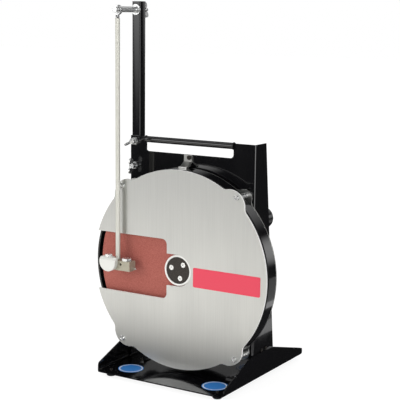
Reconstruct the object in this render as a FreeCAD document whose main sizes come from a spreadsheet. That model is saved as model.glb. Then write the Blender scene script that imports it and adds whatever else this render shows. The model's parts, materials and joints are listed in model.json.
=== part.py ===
"""Bench grinder for shearing combs and cutters: an abrasive disc behind a cover with a window,
a folded steel stand on a folded base, and a hanging arm that carries the comb holder."""
import FreeCAD, Part
import math
import os
import re
import Sketcher
from FreeCAD import Placement, Rotation, Vector

# Driving sizes in millimetres and degrees.
# X runs to the right seen from the front, Y to the back, Z up.
# The origin is on the ground, under the middle of the base.
sizes = {
    # Base: one folded sheet with two upturned sides, on rubber feet.
    "base_width": 237.0,
    "base_depth": 262.0,
    "base_sheet": 2.0,
    "base_bend": 3.5,
    "base_corner": 9.0,
    "side_rise": 39.5,
    "side_setback": 4.0,
    "side_front_rise": 10.0,
    "side_front_run": 85.0,
    "side_rear_rise": 10.3,
    "side_rear_run": 107.0,
    "nose_round": 10.0,
    "tail_round": 4.0,
    "foot_radius": 7.5,
    "foot_height": 7.0,
    "foot_edge": 1.2,
    "foot_bore_depth": 4.7,
    "foot_side_inset": 19.5,
    "foot_end_inset": 16.0,
    # Stand: one folded sheet with two rearward flanges and a notch for the hand rail.
    "stand_side_gap": 0.3,
    "stand_sheet": 2.0,
    "stand_bend": 2.0,
    "panel_setback": 38.0,
    "panel_margin": 42.8,
    "flange_top_depth": 33.0,
    "flange_foot_depth": 72.5,
    "notch_left": 85.0,
    "notch_right": 77.0,
    "notch_margin": 19.7,
    "notch_corner": 6.0,
    "rail_radius": 5.0,
    "rail_drop": 4.0,
    "tab_width": 18.0,
    "tab_depth": 15.0,
    "tab_spread": 87.0,
    "angle_sheet": 2.5,
    "angle_leg": 50.0,
    "angle_foot": 24.0,
    "angle_length": 52.0,
    "angle_setback": 10.0,
    "flange_screw_rise": 42.5,
    "flange_screw_first": 27.0,
    "flange_screw_pitch": 14.0,
    # Front cover, guard ring and rear plate round the disc.
    "cover_setback": 54.0,
    "cover_clearance": 9.0,
    "cover_radius": 159.0,
    "cover_sheet": 3.0,
    "bolt_margin": 4.6,
    "bolt_inset": 11.2,
    "ear_radius": 26.0,
    "rear_ear_radius": 13.0,
    "ear_margin": 7.4,
    "ear_blend": 12.0,
    "window_reach": 19.0,
    "window_half": 48.0,
    "window_corner": 9.0,
    "hub_window_radius": 25.5,
    "guard_setback": 7.0,
    "guard_depth": 23.5,
    "guard_wall": 3.0,
    "guard_lip": 15.0,
    "guard_sheet": 2.0,
    "rivet_inset": 6.0,
    "rivet_head": 1.5,
    "rear_sheet": 2.0,
    "rear_bore_radius": 24.0,
    "spacer_radius": 4.0,
    "standoff_radius": 6.0,
    "bracket_width": 14.8,
    "bracket_shift": 3.8,
    "bracket_sheet": 2.5,
    "bracket_reach": 18.0,
    "bracket_tip": 5.0,
    "bracket_slant": 31.4,
    "bracket_screw_shift": 1.1,
    "bracket_screw_drop": 4.2,
    "bracket_head_radius": 3.4,
    "label_left": 30.0,
    "label_margin": 10.5,
    "label_drop": 22.0,
    "label_height": 31.0,
    "label_corner": 2.5,
    "label_sheet": 0.4,
    "sticker_radius": 20.5,
    "sticker_spread": 78.7,
    "sticker_shift": 2.3,
    "sticker_setback": 38.5,
    "sticker_sheet": 0.3,
    # Grinding disc and its hub.
    "disc_gap": 6.0,
    "disc_rim": 4.5,
    "disc_step": 6.0,
    "platter_thickness": 7.4,
    "abrasive_thickness": 1.0,
    "abrasive_setback": 8.5,
    "clamp_radius": 24.5,
    "clamp_height": 5.9,
    "clamp_wall": 3.1,
    "clamp_web": 2.4,
    "hub_cap_thickness": 3.0,
    "hub_cap_edge": 0.6,
    "hub_screw_circle": 13.0,
    "spigot_radius": 18.0,
    "hub_flange_radius": 32.0,
    "hub_flange_thickness": 7.0,
    "hub_boss_radius": 16.0,
    "hub_boss_length": 11.0,
    "shaft_nose_radius": 7.0,
    # Motor behind the panel.
    "shield_radius": 59.5,
    "shield_thickness": 12.0,
    "shield_wall": 8.0,
    "shield_lip": 3.0,
    "housing_radius": 52.0,
    "housing_wall": 2.0,
    "housing_length": 112.0,
    "fin_rise": 2.8,
    "fin_thickness": 1.8,
    "bearing_radius": 17.5,
    "bearing_bore_radius": 7.5,
    "bearing_width": 11.0,
    "bearing_wall": 2.0,
    "bearing_seat": 24.0,
    "ball_radius": 2.95,
    "ball_circle": 12.5,
    "stator_length": 60.0,
    "stator_bore_radius": 28.5,
    "winding_length": 14.0,
    "winding_inner_radius": 31.0,
    "winding_outer_radius": 46.0,
    "air_gap": 0.5,
    "shaft_radius": 8.0,
    "shaft_tail_radius": 6.0,
    "shaft_clearance": 0.6,
    "cage_thickness": 4.0,
    "cage_inset": 2.0,
    "cage_bore_radius": 14.0,
    "fan_radius": 47.0,
    "fan_depth": 13.0,
    "fan_boss_radius": 11.0,
    "fan_gap": 4.0,
    "fan_web": 2.0,
    "fan_edge": 1.0,
    "cowl_wall": 1.2,
    "cowl_depth": 26.0,
    "vent_radius": 3.2,
    "vent_circle_radius": 16.0,
    "vent_pitch": 11.0,
    "tie_circle": 57.0,
    "motor_screw_circle": 46.0,
    "panel_bore_radius": 20.0,
    "capacitor_radius": 18.0,
    "capacitor_length": 66.0,
    "capacitor_setback": 84.0,
    "capacitor_distance": 82.0,
    "capacitor_angle": 50.0,
    "capacitor_dome": 5.0,
    "capacitor_crown": 10.8,
    "clip_wall": 1.5,
    "clip_setback": 8.0,
    "clip_width": 14.0,
    "clip_foot": 12.0,
    # Switch box on top of the motor.
    "box_width": 64.0,
    "box_depth": 58.0,
    "box_height": 36.0,
    "box_wall": 2.5,
    "box_setback": 24.0,
    "lid_thickness": 3.0,
    "rocker_length": 21.0,
    "rocker_width": 14.0,
    "rocker_depth": 12.0,
    "rocker_angle": 8.0,
    "rocker_gap": 0.6,
    "rocker_rise": 4.5,
    "rocker_dip": 2.6,
    "rocker_edge": 1.0,
    "rocker_root": 3.0,
    "switch_wall": 1.5,
    "switch_gap": 1.0,
    "gland_radius": 8.0,
    "gland_bore_radius": 3.5,
    "gland_dome_radius": 6.8,
    "gland_mouth_radius": 4.5,
    "gland_length": 14.0,
    "gland_thread_radius": 6.0,
    "gland_thread_length": 7.5,
    # Mast and its clamp.
    "mast_side": 15.5,
    "mast_wall": 1.6,
    "mast_corner": 1.5,
    "mast_length": 400.0,
    "mast_rise": 415.0,
    "mast_gap": 0.3,
    "guide_wall": 2.0,
    "guide_height": 60.0,
    "guide_drop": 3.0,
    "clamp_upper_drop": 8.4,
    "clamp_lower_drop": 47.8,
    "clamp_nut_height": 3.0,
    "clamp_nut_radius": 6.3,
    "clamp_nut_gap": 1.0,
    # Hanging arm: pivot bolt, ball end and rod.
    "pivot_drop": 13.0,
    "arm_setout": 9.6,
    "arm_radius": 3.7,
    "pivot_radius": 3.0,
    "sleeve_radius": 4.4,
    "washer_radius": 8.5,
    "washer_thickness": 1.6,
    "end_washer_radius": 6.2,
    "pivot_head_radius": 5.0,
    "pivot_head_height": 2.6,
    "pivot_nut_radius": 5.8,
    "pivot_nut_height": 3.2,
    "pivot_end": 6.0,
    "ball_end_radius": 5.6,
    "ball_end_width": 7.8,
    "eye_radius": 7.6,
    "eye_drop": 0.8,
    "eye_width": 6.0,
    "eye_stem": 13.5,
    "eye_stem_radius": 2.9,
    "stud_radius": 2.2,
    "stud_length": 14.0,
    # Comb holder at the foot of the arm.
    "block_left": 17.0,
    "block_right": 28.0,
    "block_depth": 16.0,
    "block_height": 15.5,
    "block_top": 6.7,
    "arm_socket_depth": 10.0,
    "pad_radius": 15.5,
    "pad_centre": 4.3,
    "pad_top": 11.6,
    "pad_shift": 10.0,
    "pad_thickness": 7.9,
    "pad_bevel": 4.0,
    "shelf_reach": 6.0,
    "magnet_radius": 5.0,
    "magnet_height": 5.0,
    "magnet_left": 9.0,
    "magnet_right": 14.0,
    "pin_radius": 1.6,
    "pin_stand": 1.2,
    "pin_seat": 3.0,
    "pin_rise": 3.0,
    "pin_left": 1.5,
    "pin_right": 6.5,
    "face_hole_radius": 2.1,
    "face_hole_depth": 8.0,
    "face_hole_right": 10.5,
    "face_hole_drop": 5.5,
    "grub_radius": 1.5,
    "grub_length": 11.0,
    "grub_seat": 6.5,
    "grub_rise": 3.0,
    "grub_inset": 3.5,
    "hex_radius": 6.4,
    "hex_height": 4.5,
    "top_screw_right": 17.5,
    "top_screw_radius": 8.6,
    "top_screw_length": 6.0,
    "pad_screw_shift": 2.0,
    "shelf_gap": 0.5,
    # Fasteners and fits.
    "thread_large": 3.0,
    "thread_medium": 2.5,
    "thread_small": 2.0,
    "small_screw_length": 6.5,
    "hole_clearance": 0.1,
    "press_clearance": 0.05,
    "running_clearance": 0.05,
    "head_height": 2.4,
    "socket_share": 0.42,
    "socket_depth_share": 0.6,
    "head_radius": 4.2,
    "small_head_height": 1.6,
    "small_head_radius": 2.5,
    "wing_span": 12.5,
    "wing_thickness": 2.6,
    "wing_radius": 4.8,
    "wing_hub_radius": 4.6,
    "wing_hub_length": 6.5,
    "wing_root": 1.3,
    "wing_drop": 3.25,
}

fin_count = 20
fan_blade_count = 8
bearing_ball_count = 8
rivet_count = 6
TIE_ANGLES = (25, 115, 205, 295)
MOTOR_SCREW_ANGLES = (45, 135, 225, 315)
HUB_SCREW_ANGLES = (166, 46, -74)
VENT_COUNTS = (6, 12, 16)
WING_ANGLES = {"upper": 31, "lower": 86, "nut": 80}

os.makedirs("parts", exist_ok=True)
doc = FreeCAD.newDocument("shearing_grinder")
sheet = doc.addObject("Spreadsheet::Sheet", "Sizes")
for row, (word, number) in enumerate(sizes.items(), start=1):
    sheet.set(f"A{row}", word)
    sheet.set(f"B{row}", str(number))
    sheet.setAlias(f"B{row}", word)
doc.recompute()

# How far a cutting outline runs past the face it opens.
over = 1

subparts = []

# Turns that lay an object's own Z axis along a direction of the machine.
TURNS = {
    "+z": Rotation(),
    "-z": Rotation(Vector(1, 0, 0), 180),
    "+y": Rotation(Vector(1, 0, 0), -90),
    "-y": Rotation(Vector(1, 0, 0), 90),
    "+x": Rotation(Vector(0, 1, 0), 90),
    "-x": Rotation(Vector(0, 1, 0), -90),
}


# Formulas: every word that names a size is read from the sheet.
def tied(text):
    def cell(found):
        word = found.group(0)
        return "Sizes." + word if word in sizes else word
    return re.sub(r"[a-z_]+", cell, str(text))


def bind(item, **formulas):
    for name, text in formulas.items():
        item.setExpression(name, tied(text))


def put(item, spot, turn=TURNS["+z"]):
    item.Placement = Placement(Vector(), turn)
    for letter, text in zip("xyz", spot):
        item.setExpression(f"Placement.Base.{letter}", tied(text))
    return item


def shifted(spot, direction, text):
    """The spot moved along one of the six directions by the length in text."""
    moved = list(spot)
    place = "xyz".index(direction[1])
    moved[place] = f"({moved[place]}) {direction[0]} ({text})"
    return tuple(moved)


def value(text):
    """The number that a formula gives, for the few places that need it in code."""
    number = sheet.evalExpression(tied(text))
    return float(getattr(number, "Value", number))


# Part primitives and booleans.
def cylinder(radius, length, spot, direction="+z"):
    item = doc.addObject("Part::Cylinder", "cylinder")
    bind(item, Radius=radius, Height=length)
    return put(item, spot, TURNS[direction])


def cone(first_radius, second_radius, length, spot, direction="+z"):
    item = doc.addObject("Part::Cone", "cone")
    bind(item, Radius1=first_radius, Radius2=second_radius, Height=length)
    return put(item, spot, TURNS[direction])


def hexagon(corner_radius, length, spot, direction="+z"):
    item = doc.addObject("Part::Prism", "hexagon")
    item.Polygon = 6
    bind(item, Circumradius=corner_radius, Height=length)
    return put(item, spot, TURNS[direction])


def block(length, width, height, spot):
    item = doc.addObject("Part::Box", "block")
    bind(item, Length=length, Width=width, Height=height)
    return put(item, spot)


def ball(radius, spot):
    item = doc.addObject("Part::Sphere", "ball")
    bind(item, Radius=radius)
    return put(item, spot)


def joined(*pieces):
    item = doc.addObject("Part::MultiFuse", "joined")
    item.Shapes = list(pieces)
    item.Refine = True
    return item


def cut_away(base, *tools):
    item = doc.addObject("Part::Cut", "cut_away")
    item.Base = base
    item.Tool = tools[0] if len(tools) == 1 else joined(*tools)
    return item


def shared(first, second):
    item = doc.addObject("Part::Common", "shared")
    item.Base = first
    item.Tool = second
    return item


def grouped(pieces):
    """Separate solids of one kind, kept side by side in one sub-part."""
    item = doc.addObject("Part::Compound", "grouped")
    item.Links = pieces
    return item


def subpart(label, item):
    item.Label = label
    subparts.append(item)
    return item


# PartDesign bodies.
def new_body(label):
    body = doc.addObject("PartDesign::Body", label)
    return subpart(label, body)


def new_sketch(body, plane="XY_Plane", offset="0"):
    sketch = body.newObject("Sketcher::SketchObject", "sketch")
    support = next(part for part in body.Origin.OriginFeatures if part.Role == plane)
    sketch.AttachmentSupport = [(support, "")]
    sketch.MapMode = "FlatFace"
    sketch.setExpression(".AttachmentOffset.Base.z", tied(offset))
    return sketch


def pin_point(sketch, line, end, corner):
    """Holds one end of a line, or a circle's centre, at a corner given as two formulas."""
    for kind, text in zip(("DistanceX", "DistanceY"), corner):
        index = sketch.addConstraint(Sketcher.Constraint(kind, -1, 1, line, end, value(text)))
        sketch.setExpression(f"Constraints[{index}]", tied(text))


def outline(sketch, corners, bends=()):
    """A closed run through corners, each held by two formulas.
    Each bend (run, centre, radius) makes that run an arc instead of a straight line."""
    points = [Vector(value(x), value(y), 0) for x, y in corners]
    count = len(points)
    first = sketch.GeometryCount
    curved = {run: (centre, radius) for run, centre, radius in bends}
    ends = []
    for run, point in enumerate(points):
        following = points[(run + 1) % count]
        if run not in curved:
            sketch.addGeometry(Part.LineSegment(point, following), False)
            ends.append((1, 2))
            continue
        centre, radius = curved[run]
        middle = Vector(value(centre[0]), value(centre[1]), 0)
        leftward = (point - middle).cross(following - middle).z > 0
        stops = (point, following) if leftward else (following, point)
        angles = [math.atan2(stop.y - middle.y, stop.x - middle.x) for stop in stops]
        circle = Part.Circle(middle, Vector(0, 0, 1), value(radius))
        sketch.addGeometry(Part.ArcOfCircle(circle, *angles), False)
        ends.append((1, 2) if leftward else (2, 1))
    for run in range(count):
        following = (run + 1) % count
        sketch.addConstraint(Sketcher.Constraint(
            "Coincident", first + run, ends[run][1], first + following, ends[following][0]))
    for run, corner in enumerate(corners):
        pin_point(sketch, first + run, ends[run][0], corner)
    for run, (centre, radius) in curved.items():
        index = sketch.addConstraint(Sketcher.Constraint("Radius", first + run, value(radius)))
        sketch.setExpression(f"Constraints[{index}]", tied(radius))
    return sketch


def rings(sketch, circles):
    for x, y, radius in circles:
        circle = Part.Circle(Vector(value(x), value(y), 0), Vector(0, 0, 1), value(radius))
        index = sketch.addGeometry(circle, False)
        pin_point(sketch, index, 3, (x, y))
        size = sketch.addConstraint(Sketcher.Constraint("Radius", index, value(radius)))
        sketch.setExpression(f"Constraints[{size}]", tied(radius))
    return sketch


def pad(body, sketch, length, reverse=False, middle=False):
    item = body.newObject("PartDesign::Pad", "pad")
    item.Profile = sketch
    bind(item, Length=length)
    item.Reversed = reverse
    item.Midplane = middle
    body.Tip = item
    return item


def through_pocket(body, sketch):
    """Cuts the sketch right through the body, both ways, and checks that it cut something."""
    doc.recompute()
    before = body.Tip.Shape.Volume
    item = body.newObject("PartDesign::Pocket", "pocket")
    item.Profile = sketch
    item.Type = "ThroughAll"
    item.Midplane = True
    body.Tip = item
    doc.recompute()
    if item.Shape.Volume >= before:
        raise RuntimeError(f"a pocket of {body.Label} cuts nothing")
    return item


def edge_at(**levels):
    """Accepts an edge whose middle lies at the given levels, each a formula."""
    numbers = {letter: value(text) for letter, text in levels.items()}
    return lambda at: all(near(getattr(at, letter), number) for letter, number in numbers.items())


def rounded(body, radius, wanted):
    """Rounds the straight edges whose middle point wanted accepts."""
    doc.recompute()
    base = body.Tip
    names = []
    for number, edge in enumerate(base.Shape.Edges, start=1):
        if not isinstance(edge.Curve, Part.Line):
            continue
        if wanted(edge.CenterOfMass):
            names.append(f"Edge{number}")
    if not names:
        raise RuntimeError(f"no edge of {body.Label} to round")
    item = body.newObject("PartDesign::Fillet", "fillet")
    item.Base = (base, names)
    bind(item, Radius=radius)
    body.Tip = item
    return item


def turned(label, profile, spot, direction="+y"):
    """A lathe-turned body: corners are (radius, distance along its axis)."""
    body = new_body(label)
    sketch = outline(new_sketch(body, "XZ_Plane"), profile)
    item = body.newObject("PartDesign::Revolution", "revolution")
    item.Profile = sketch
    item.ReferenceAxis = (sketch, ["V_Axis"])
    item.Angle = 360
    body.Tip = item
    put(body, spot, TURNS[direction])
    return body


def near(first, second):
    return abs(first - second) < 0.01


# Levels and planes that more than one piece shares.
floor_top = "(foot_height + base_sheet)"
hub_z = f"({floor_top} + cover_clearance + cover_radius)"
hub_y = "(cover_setback - base_depth / 2)"
panel_front = f"({hub_y} + panel_setback)"
panel_back = f"({panel_front} + stand_sheet)"
panel_top = f"({hub_z} + cover_radius + panel_margin)"
notch_z = f"({hub_z} + cover_radius + notch_margin)"
flange_out = "(base_width / 2 - base_sheet - stand_side_gap)"
flange_in = f"({flange_out} - stand_sheet)"
rear_front = f"({hub_y} + guard_setback + guard_depth)"
rear_back = f"({rear_front} + rear_sheet)"
# The mast's corner clears the inner round of the stand's fold.
mast_clear = "((stand_bend - mast_corner) * (1 - cos(45)) + mast_gap)"
mast_x = f"(0 - {flange_in} + {mast_clear} + mast_side / 2)"
mast_front = f"({panel_back} + {mast_clear})"
mast_back = f"({mast_front} + mast_side)"
pivot_z = f"({hub_z} + mast_rise - pivot_drop)"
arm_y = f"({hub_y} - arm_setout)"
upper_clamp_z = f"({panel_top} - clamp_upper_drop)"
lower_clamp_z = f"({panel_top} - clamp_lower_drop)"
bolt_circle = "(cover_radius + bolt_margin)"
ear_angle = f"acos(({flange_out} - bolt_inset) / {bolt_circle})"
rivet_circle = "(cover_radius - guard_wall - rivet_inset)"
disc_radius = "(cover_radius - guard_wall - disc_gap)"
SIDES = ("-", "+")

# The four ears, as the signs of their X and Z distances from the hub.
CORNERS = [("-", "+"), ("+", "+"), ("-", "-"), ("+", "-")]


def polar(distance, angle):
    return f"({distance}) * cos({angle})", f"({distance}) * sin({angle})"


def ear_spot(distance, side, height):
    x, z = polar(distance, ear_angle)
    return f"0 {side} {x}", f"{hub_z} {height} {z}"


# Screws, nuts and washers.
def screw(spot, direction, radius, length, head_radius, head_height, head="pan"):
    """One screw whose head sits on the spot and whose shank runs along the direction."""
    shank = cylinder(radius, length, spot, direction)
    head_base = shifted(spot, direction, f"0 - ({head_height})")
    if head == "hex":
        top = hexagon(head_radius, head_height, head_base, direction)
        return joined(shank, top)
    socket_radius = f"({head_radius}) * socket_share"
    socket_depth = f"({head_height}) * socket_depth_share"
    if head == "countersunk":
        top = cone(head_radius, radius, head_height, spot, direction)
        drive = hexagon(socket_radius, socket_depth, spot, direction)
        return cut_away(joined(shank, top), drive)
    top = cylinder(head_radius, head_height, head_base, direction)
    drive = hexagon(socket_radius, socket_depth, head_base, direction)
    return cut_away(joined(shank, top), drive)


def nut(spot, direction, corner_radius, bore_radius, height):
    outside = hexagon(corner_radius, height, spot, direction)
    return cut_away(outside, cylinder(bore_radius, height, spot, direction))


def tube(spot, direction, outer_radius, inner_radius, length):
    outside = cylinder(outer_radius, length, spot, direction)
    return cut_away(outside, cylinder(inner_radius, length, spot, direction))


# Base plate: a floor with two upturned sides whose tops slope down to front and back.
def make_base_plate():
    body = new_body("base_plate")
    half = "(base_width / 2)"
    inner = "(base_width / 2 - base_sheet)"
    side_top = f"({floor_top} + side_rise)"
    bend_outer = "(base_bend + base_sheet)"
    bend_z = f"({floor_top} + base_bend)"
    profile = [
        (f"0 - {half} + {bend_outer}", "foot_height"), (f"{half} - {bend_outer}", "foot_height"),
        (half, bend_z), (half, side_top), (inner, side_top), (inner, bend_z),
        (f"{inner} - base_bend", floor_top), (f"0 - {inner} + base_bend", floor_top),
        (f"0 - {inner}", bend_z), (f"0 - {inner}", side_top), (f"0 - {half}", side_top),
        (f"0 - {half}", bend_z),
    ]
    right_centre = (f"{half} - {bend_outer}", bend_z)
    left_centre = (f"0 - {half} + {bend_outer}", bend_z)
    bends = [(1, right_centre, bend_outer), (5, right_centre, "base_bend"),
             (7, left_centre, "base_bend"), (11, left_centre, bend_outer)]
    sketch = outline(new_sketch(body, "XZ_Plane"), profile, bends)
    pad(body, sketch, "base_depth", middle=True)

    front = "(0 - base_depth / 2)"
    rear = "(base_depth / 2)"
    nose_y = f"({front} + side_setback)"
    nose_z = f"({floor_top} + side_front_rise)"
    front_slope = [
        (f"{front} - {over}", floor_top), (nose_y, floor_top), (nose_y, nose_z),
        (f"{front} + side_front_run", side_top),
        (f"{front} + side_front_run", f"{side_top} + {over}"),
        (f"{front} - {over}", f"{side_top} + {over}"),
    ]
    through_pocket(body, outline(new_sketch(body, "YZ_Plane"), front_slope))
    tail_z = f"({floor_top} + side_rear_rise)"
    rear_slope = [
        (f"{rear} + {over}", tail_z), (rear, tail_z), (f"{rear} - side_rear_run", side_top),
        (f"{rear} - side_rear_run", f"{side_top} + {over}"),
        (f"{rear} + {over}", f"{side_top} + {over}"),
    ]
    through_pocket(body, outline(new_sketch(body, "YZ_Plane"), rear_slope))
    rounded(body, "nose_round", edge_at(y=nose_y, z=nose_z))
    rounded(body, "tail_round", edge_at(y=rear, z=tail_z))

    corners = new_sketch(body)
    for side in SIDES:
        edge = f"0 {side} {half}"
        curve_x = f"0 {side} ({half} - base_corner)"
        curve_y = f"{front} + base_corner"
        outline(corners, [
            (edge, curve_y), (f"0 {side} ({half} + {over})", curve_y),
            (f"0 {side} ({half} + {over})", f"{front} - {over}"), (curve_x, f"{front} - {over}"),
            (curve_x, front)], [(4, (curve_x, curve_y), "base_corner")])
    through_pocket(body, corners)

    foot_x = "(base_width / 2 - foot_side_inset)"
    foot_y = "(base_depth / 2 - foot_end_inset)"
    screw_hole = "thread_small + hole_clearance"
    holes = [(f"0 {sx} {foot_x}", f"0 {sy} {foot_y}", screw_hole) for sx in SIDES for sy in SIDES]
    holes += [(*spot[:2], screw_hole) for spot in angle_floor_spots()]
    holes += [(*spot[:2], screw_hole) for spot in tab_spots()]
    through_pocket(body, rings(new_sketch(body), holes))


def angle_floor_spots():
    """Floor screws of the two inner angles."""
    x = f"({flange_in} - angle_sheet - (angle_foot - angle_sheet) / 2)"
    first = f"{panel_back} + angle_setback + angle_length / 4"
    second = f"{panel_back} + angle_setback + angle_length * 3 / 4"
    return [(f"0 {side} {x}", y, f"{floor_top} + angle_sheet")
            for side in SIDES for y in (first, second)]


def tab_spots():
    """Floor screws of the stand's two front tabs."""
    y = f"{panel_front} - tab_depth / 2"
    return [(f"0 {side} tab_spread", y, f"{floor_top} + stand_sheet") for side in SIDES]


def flange_screw_spots():
    """Side screws that hold each flange to its inner angle."""
    first = f"{panel_back} + flange_screw_first"
    second = f"{panel_back} + flange_screw_first + flange_screw_pitch"
    z = f"{floor_top} + flange_screw_rise"
    return [(side, y, z) for side in SIDES for y in (first, second)]


# Stand: front panel, two rearward flanges that widen downwards, notch and front tabs.
def make_stand():
    body = new_body("stand_panel")
    deep = f"({panel_front} + flange_foot_depth)"
    bend_outer = "(stand_bend + stand_sheet)"
    bend_y = f"({panel_back} + stand_bend)"
    profile = [
        (f"0 - {flange_out} + {bend_outer}", panel_front),
        (f"{flange_out} - {bend_outer}", panel_front), (flange_out, bend_y), (flange_out, deep),
        (flange_in, deep), (flange_in, bend_y), (f"{flange_in} - stand_bend", panel_back),
        (f"0 - {flange_in} + stand_bend", panel_back), (f"0 - {flange_in}", bend_y),
        (f"0 - {flange_in}", deep), (f"0 - {flange_out}", deep), (f"0 - {flange_out}", bend_y),
    ]
    right_centre = (f"{flange_out} - {bend_outer}", bend_y)
    left_centre = (f"0 - {flange_out} + {bend_outer}", bend_y)
    bends = [(1, right_centre, bend_outer), (5, right_centre, "stand_bend"),
             (7, left_centre, "stand_bend"), (11, left_centre, bend_outer)]
    height = f"{panel_top} - {floor_top}"
    sketch = outline(new_sketch(body, "XY_Plane", floor_top), profile, bends)
    pad(body, sketch, height)
    tabs = new_sketch(body, "XY_Plane", floor_top)
    for side in SIDES:
        outer = f"0 {side} tab_spread + tab_width / 2"
        inner = f"0 {side} tab_spread - tab_width / 2"
        outline(tabs, [(inner, f"{panel_front} - tab_depth"), (outer, f"{panel_front} - tab_depth"),
                       (outer, f"{panel_front} + stand_sheet / 2"),
                       (inner, f"{panel_front} + stand_sheet / 2")])
    pad(body, tabs, "stand_sheet")
    top_depth = f"({panel_front} + flange_top_depth)"
    taper = [
        (top_depth, panel_top), (deep, floor_top), (f"{deep} + {over}", floor_top),
        (f"{deep} + {over}", f"{panel_top} + {over}"), (top_depth, f"{panel_top} + {over}"),
    ]
    through_pocket(body, outline(new_sketch(body, "YZ_Plane"), taper))
    curve_z = f"{notch_z} + notch_corner"
    left_x = "0 - notch_left + notch_corner"
    right_x = "notch_right - notch_corner"
    notch = [
        (left_x, notch_z), (right_x, notch_z), ("notch_right", curve_z),
        ("notch_right", f"{panel_top} + {over}"), ("0 - notch_left", f"{panel_top} + {over}"),
        ("0 - notch_left", curve_z),
    ]
    notch_bends = [(1, (right_x, curve_z), "notch_corner"), (5, (left_x, curve_z), "notch_corner")]
    through_pocket(body, outline(new_sketch(body, "XZ_Plane"), notch, notch_bends))
    holes = [("0", hub_z, "panel_bore_radius")]
    holes += [(*spot, "thread_medium + hole_clearance") for spot in motor_screw_spots()]
    holes += [(*ear_spot(bolt_circle, sx, sz), "thread_medium + hole_clearance")
              for sx, sz in CORNERS]
    holes += [(mast_x, level, "thread_large + hole_clearance")
              for level in (upper_clamp_z, lower_clamp_z)]
    holes.append(("0 - bracket_screw_shift", bracket_screw_z, "thread_small + hole_clearance"))
    through_pocket(body, rings(new_sketch(body, "XZ_Plane"), holes))
    side_holes = [(y, z, "thread_small + hole_clearance")
                  for side, y, z in flange_screw_spots() if side == "+"]
    through_pocket(body, rings(new_sketch(body, "YZ_Plane"), side_holes))
    tab_holes = rings(new_sketch(body, "XY_Plane", floor_top), [
        (*spot[:2], "thread_small + hole_clearance") for spot in tab_spots()])
    through_pocket(body, tab_holes)
    relief = new_sketch(body, "XZ_Plane")
    for side in SIDES:
        relief_in = f"0 {side} (base_width / 2 - base_sheet - base_bend - hole_clearance)"
        relief_out = f"0 {side} ({flange_out} + {over})"
        relief_top = f"{floor_top} + base_bend"
        outline(relief, [(relief_in, f"{floor_top} - {over}"), (relief_out, f"{floor_top} - {over}"),
                         (relief_out, relief_top), (relief_in, relief_top)])
    through_pocket(body, relief)


bracket_screw_z = f"({notch_z} - bracket_screw_drop)"


def motor_screw_spots():
    """The four screws that hold the motor's front shield to the panel."""
    spots = []
    for angle in MOTOR_SCREW_ANGLES:
        x, z = polar("motor_screw_circle", angle)
        spots.append((x, f"{hub_z} + {z}"))
    return spots


def make_stand_fittings():
    rail_z = f"({panel_top} - rail_drop)"
    rail_y = f"({panel_front} + stand_sheet / 2)"
    subpart("hand_rail", cylinder("rail_radius", "notch_left + notch_right",
                                  ("0 - notch_left", rail_y, rail_z), "+x"))
    angle_front = f"({panel_back} + angle_setback)"
    angles = []
    for side in SIDES:
        body = doc.addObject("PartDesign::Body", "floor_angle")
        angles.append(body)
        wall = f"0 {side} {flange_in}"
        wall_inner = f"0 {side} ({flange_in} - angle_sheet)"
        toe = f"0 {side} ({flange_in} - angle_foot)"
        heel = f"0 {side} ({flange_in} - base_bend)"
        bend_z = f"{floor_top} + base_bend"
        profile = [
            (wall, bend_z), (wall, f"{floor_top} + angle_leg"),
            (wall_inner, f"{floor_top} + angle_leg"), (wall_inner, f"{floor_top} + angle_sheet"),
            (toe, f"{floor_top} + angle_sheet"), (toe, floor_top), (heel, floor_top),
        ]
        sketch = outline(new_sketch(body, "XZ_Plane", f"0 - {angle_front}"), profile,
                         [(6, (heel, bend_z), "base_bend")])
        pad(body, sketch, "angle_length", reverse=True)
        floor_holes = [(x, y, "thread_small + hole_clearance")
                       for x, y, z in angle_floor_spots() if x.startswith(f"0 {side}")]
        through_pocket(body, rings(new_sketch(body), floor_holes))
        wall_holes = [(y, z, "thread_small + hole_clearance")
                      for where, y, z in flange_screw_spots() if where == side]
        through_pocket(body, rings(new_sketch(body, "YZ_Plane"), wall_holes))
    subpart("floor_angles", grouped(angles))
    screws = [
        small_screw((f"0 {side} {flange_out}", y, z), "-x" if side == "+" else "+x")
        for side, y, z in flange_screw_spots()]
    bracket_spot = ("0 - bracket_screw_shift", f"{panel_front} - bracket_sheet", bracket_screw_z)
    screws.append(screw(bracket_spot, "+y", "thread_small", "small_screw_length",
                        "bracket_head_radius", "head_height"))
    subpart("stand_screws", grouped(screws))


def small_screw(spot, direction):
    return screw(spot, direction, "thread_small", "small_screw_length", "small_head_radius",
                 "small_head_height")


def make_feet():
    feet = []
    screws = [small_screw(spot, "-z") for spot in angle_floor_spots() + tab_spots()]
    for side in SIDES:
        for end in SIDES:
            x = f"0 {side} (base_width / 2 - foot_side_inset)"
            y = f"0 {end} (base_depth / 2 - foot_end_inset)"
            rubber = joined(
                cylinder("foot_radius", "foot_height - foot_edge", (x, y, "foot_edge")),
                cone("foot_radius - foot_edge", "foot_radius", "foot_edge", (x, y, "0")))
            bore = cylinder("thread_small + press_clearance", "foot_bore_depth",
                            (x, y, "foot_height - foot_bore_depth"))
            feet.append(cut_away(rubber, bore))
            screws.append(small_screw((x, y, floor_top), "-z"))
    subpart("rubber_feet", grouped(feet))
    subpart("base_screws", grouped(screws))


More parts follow.
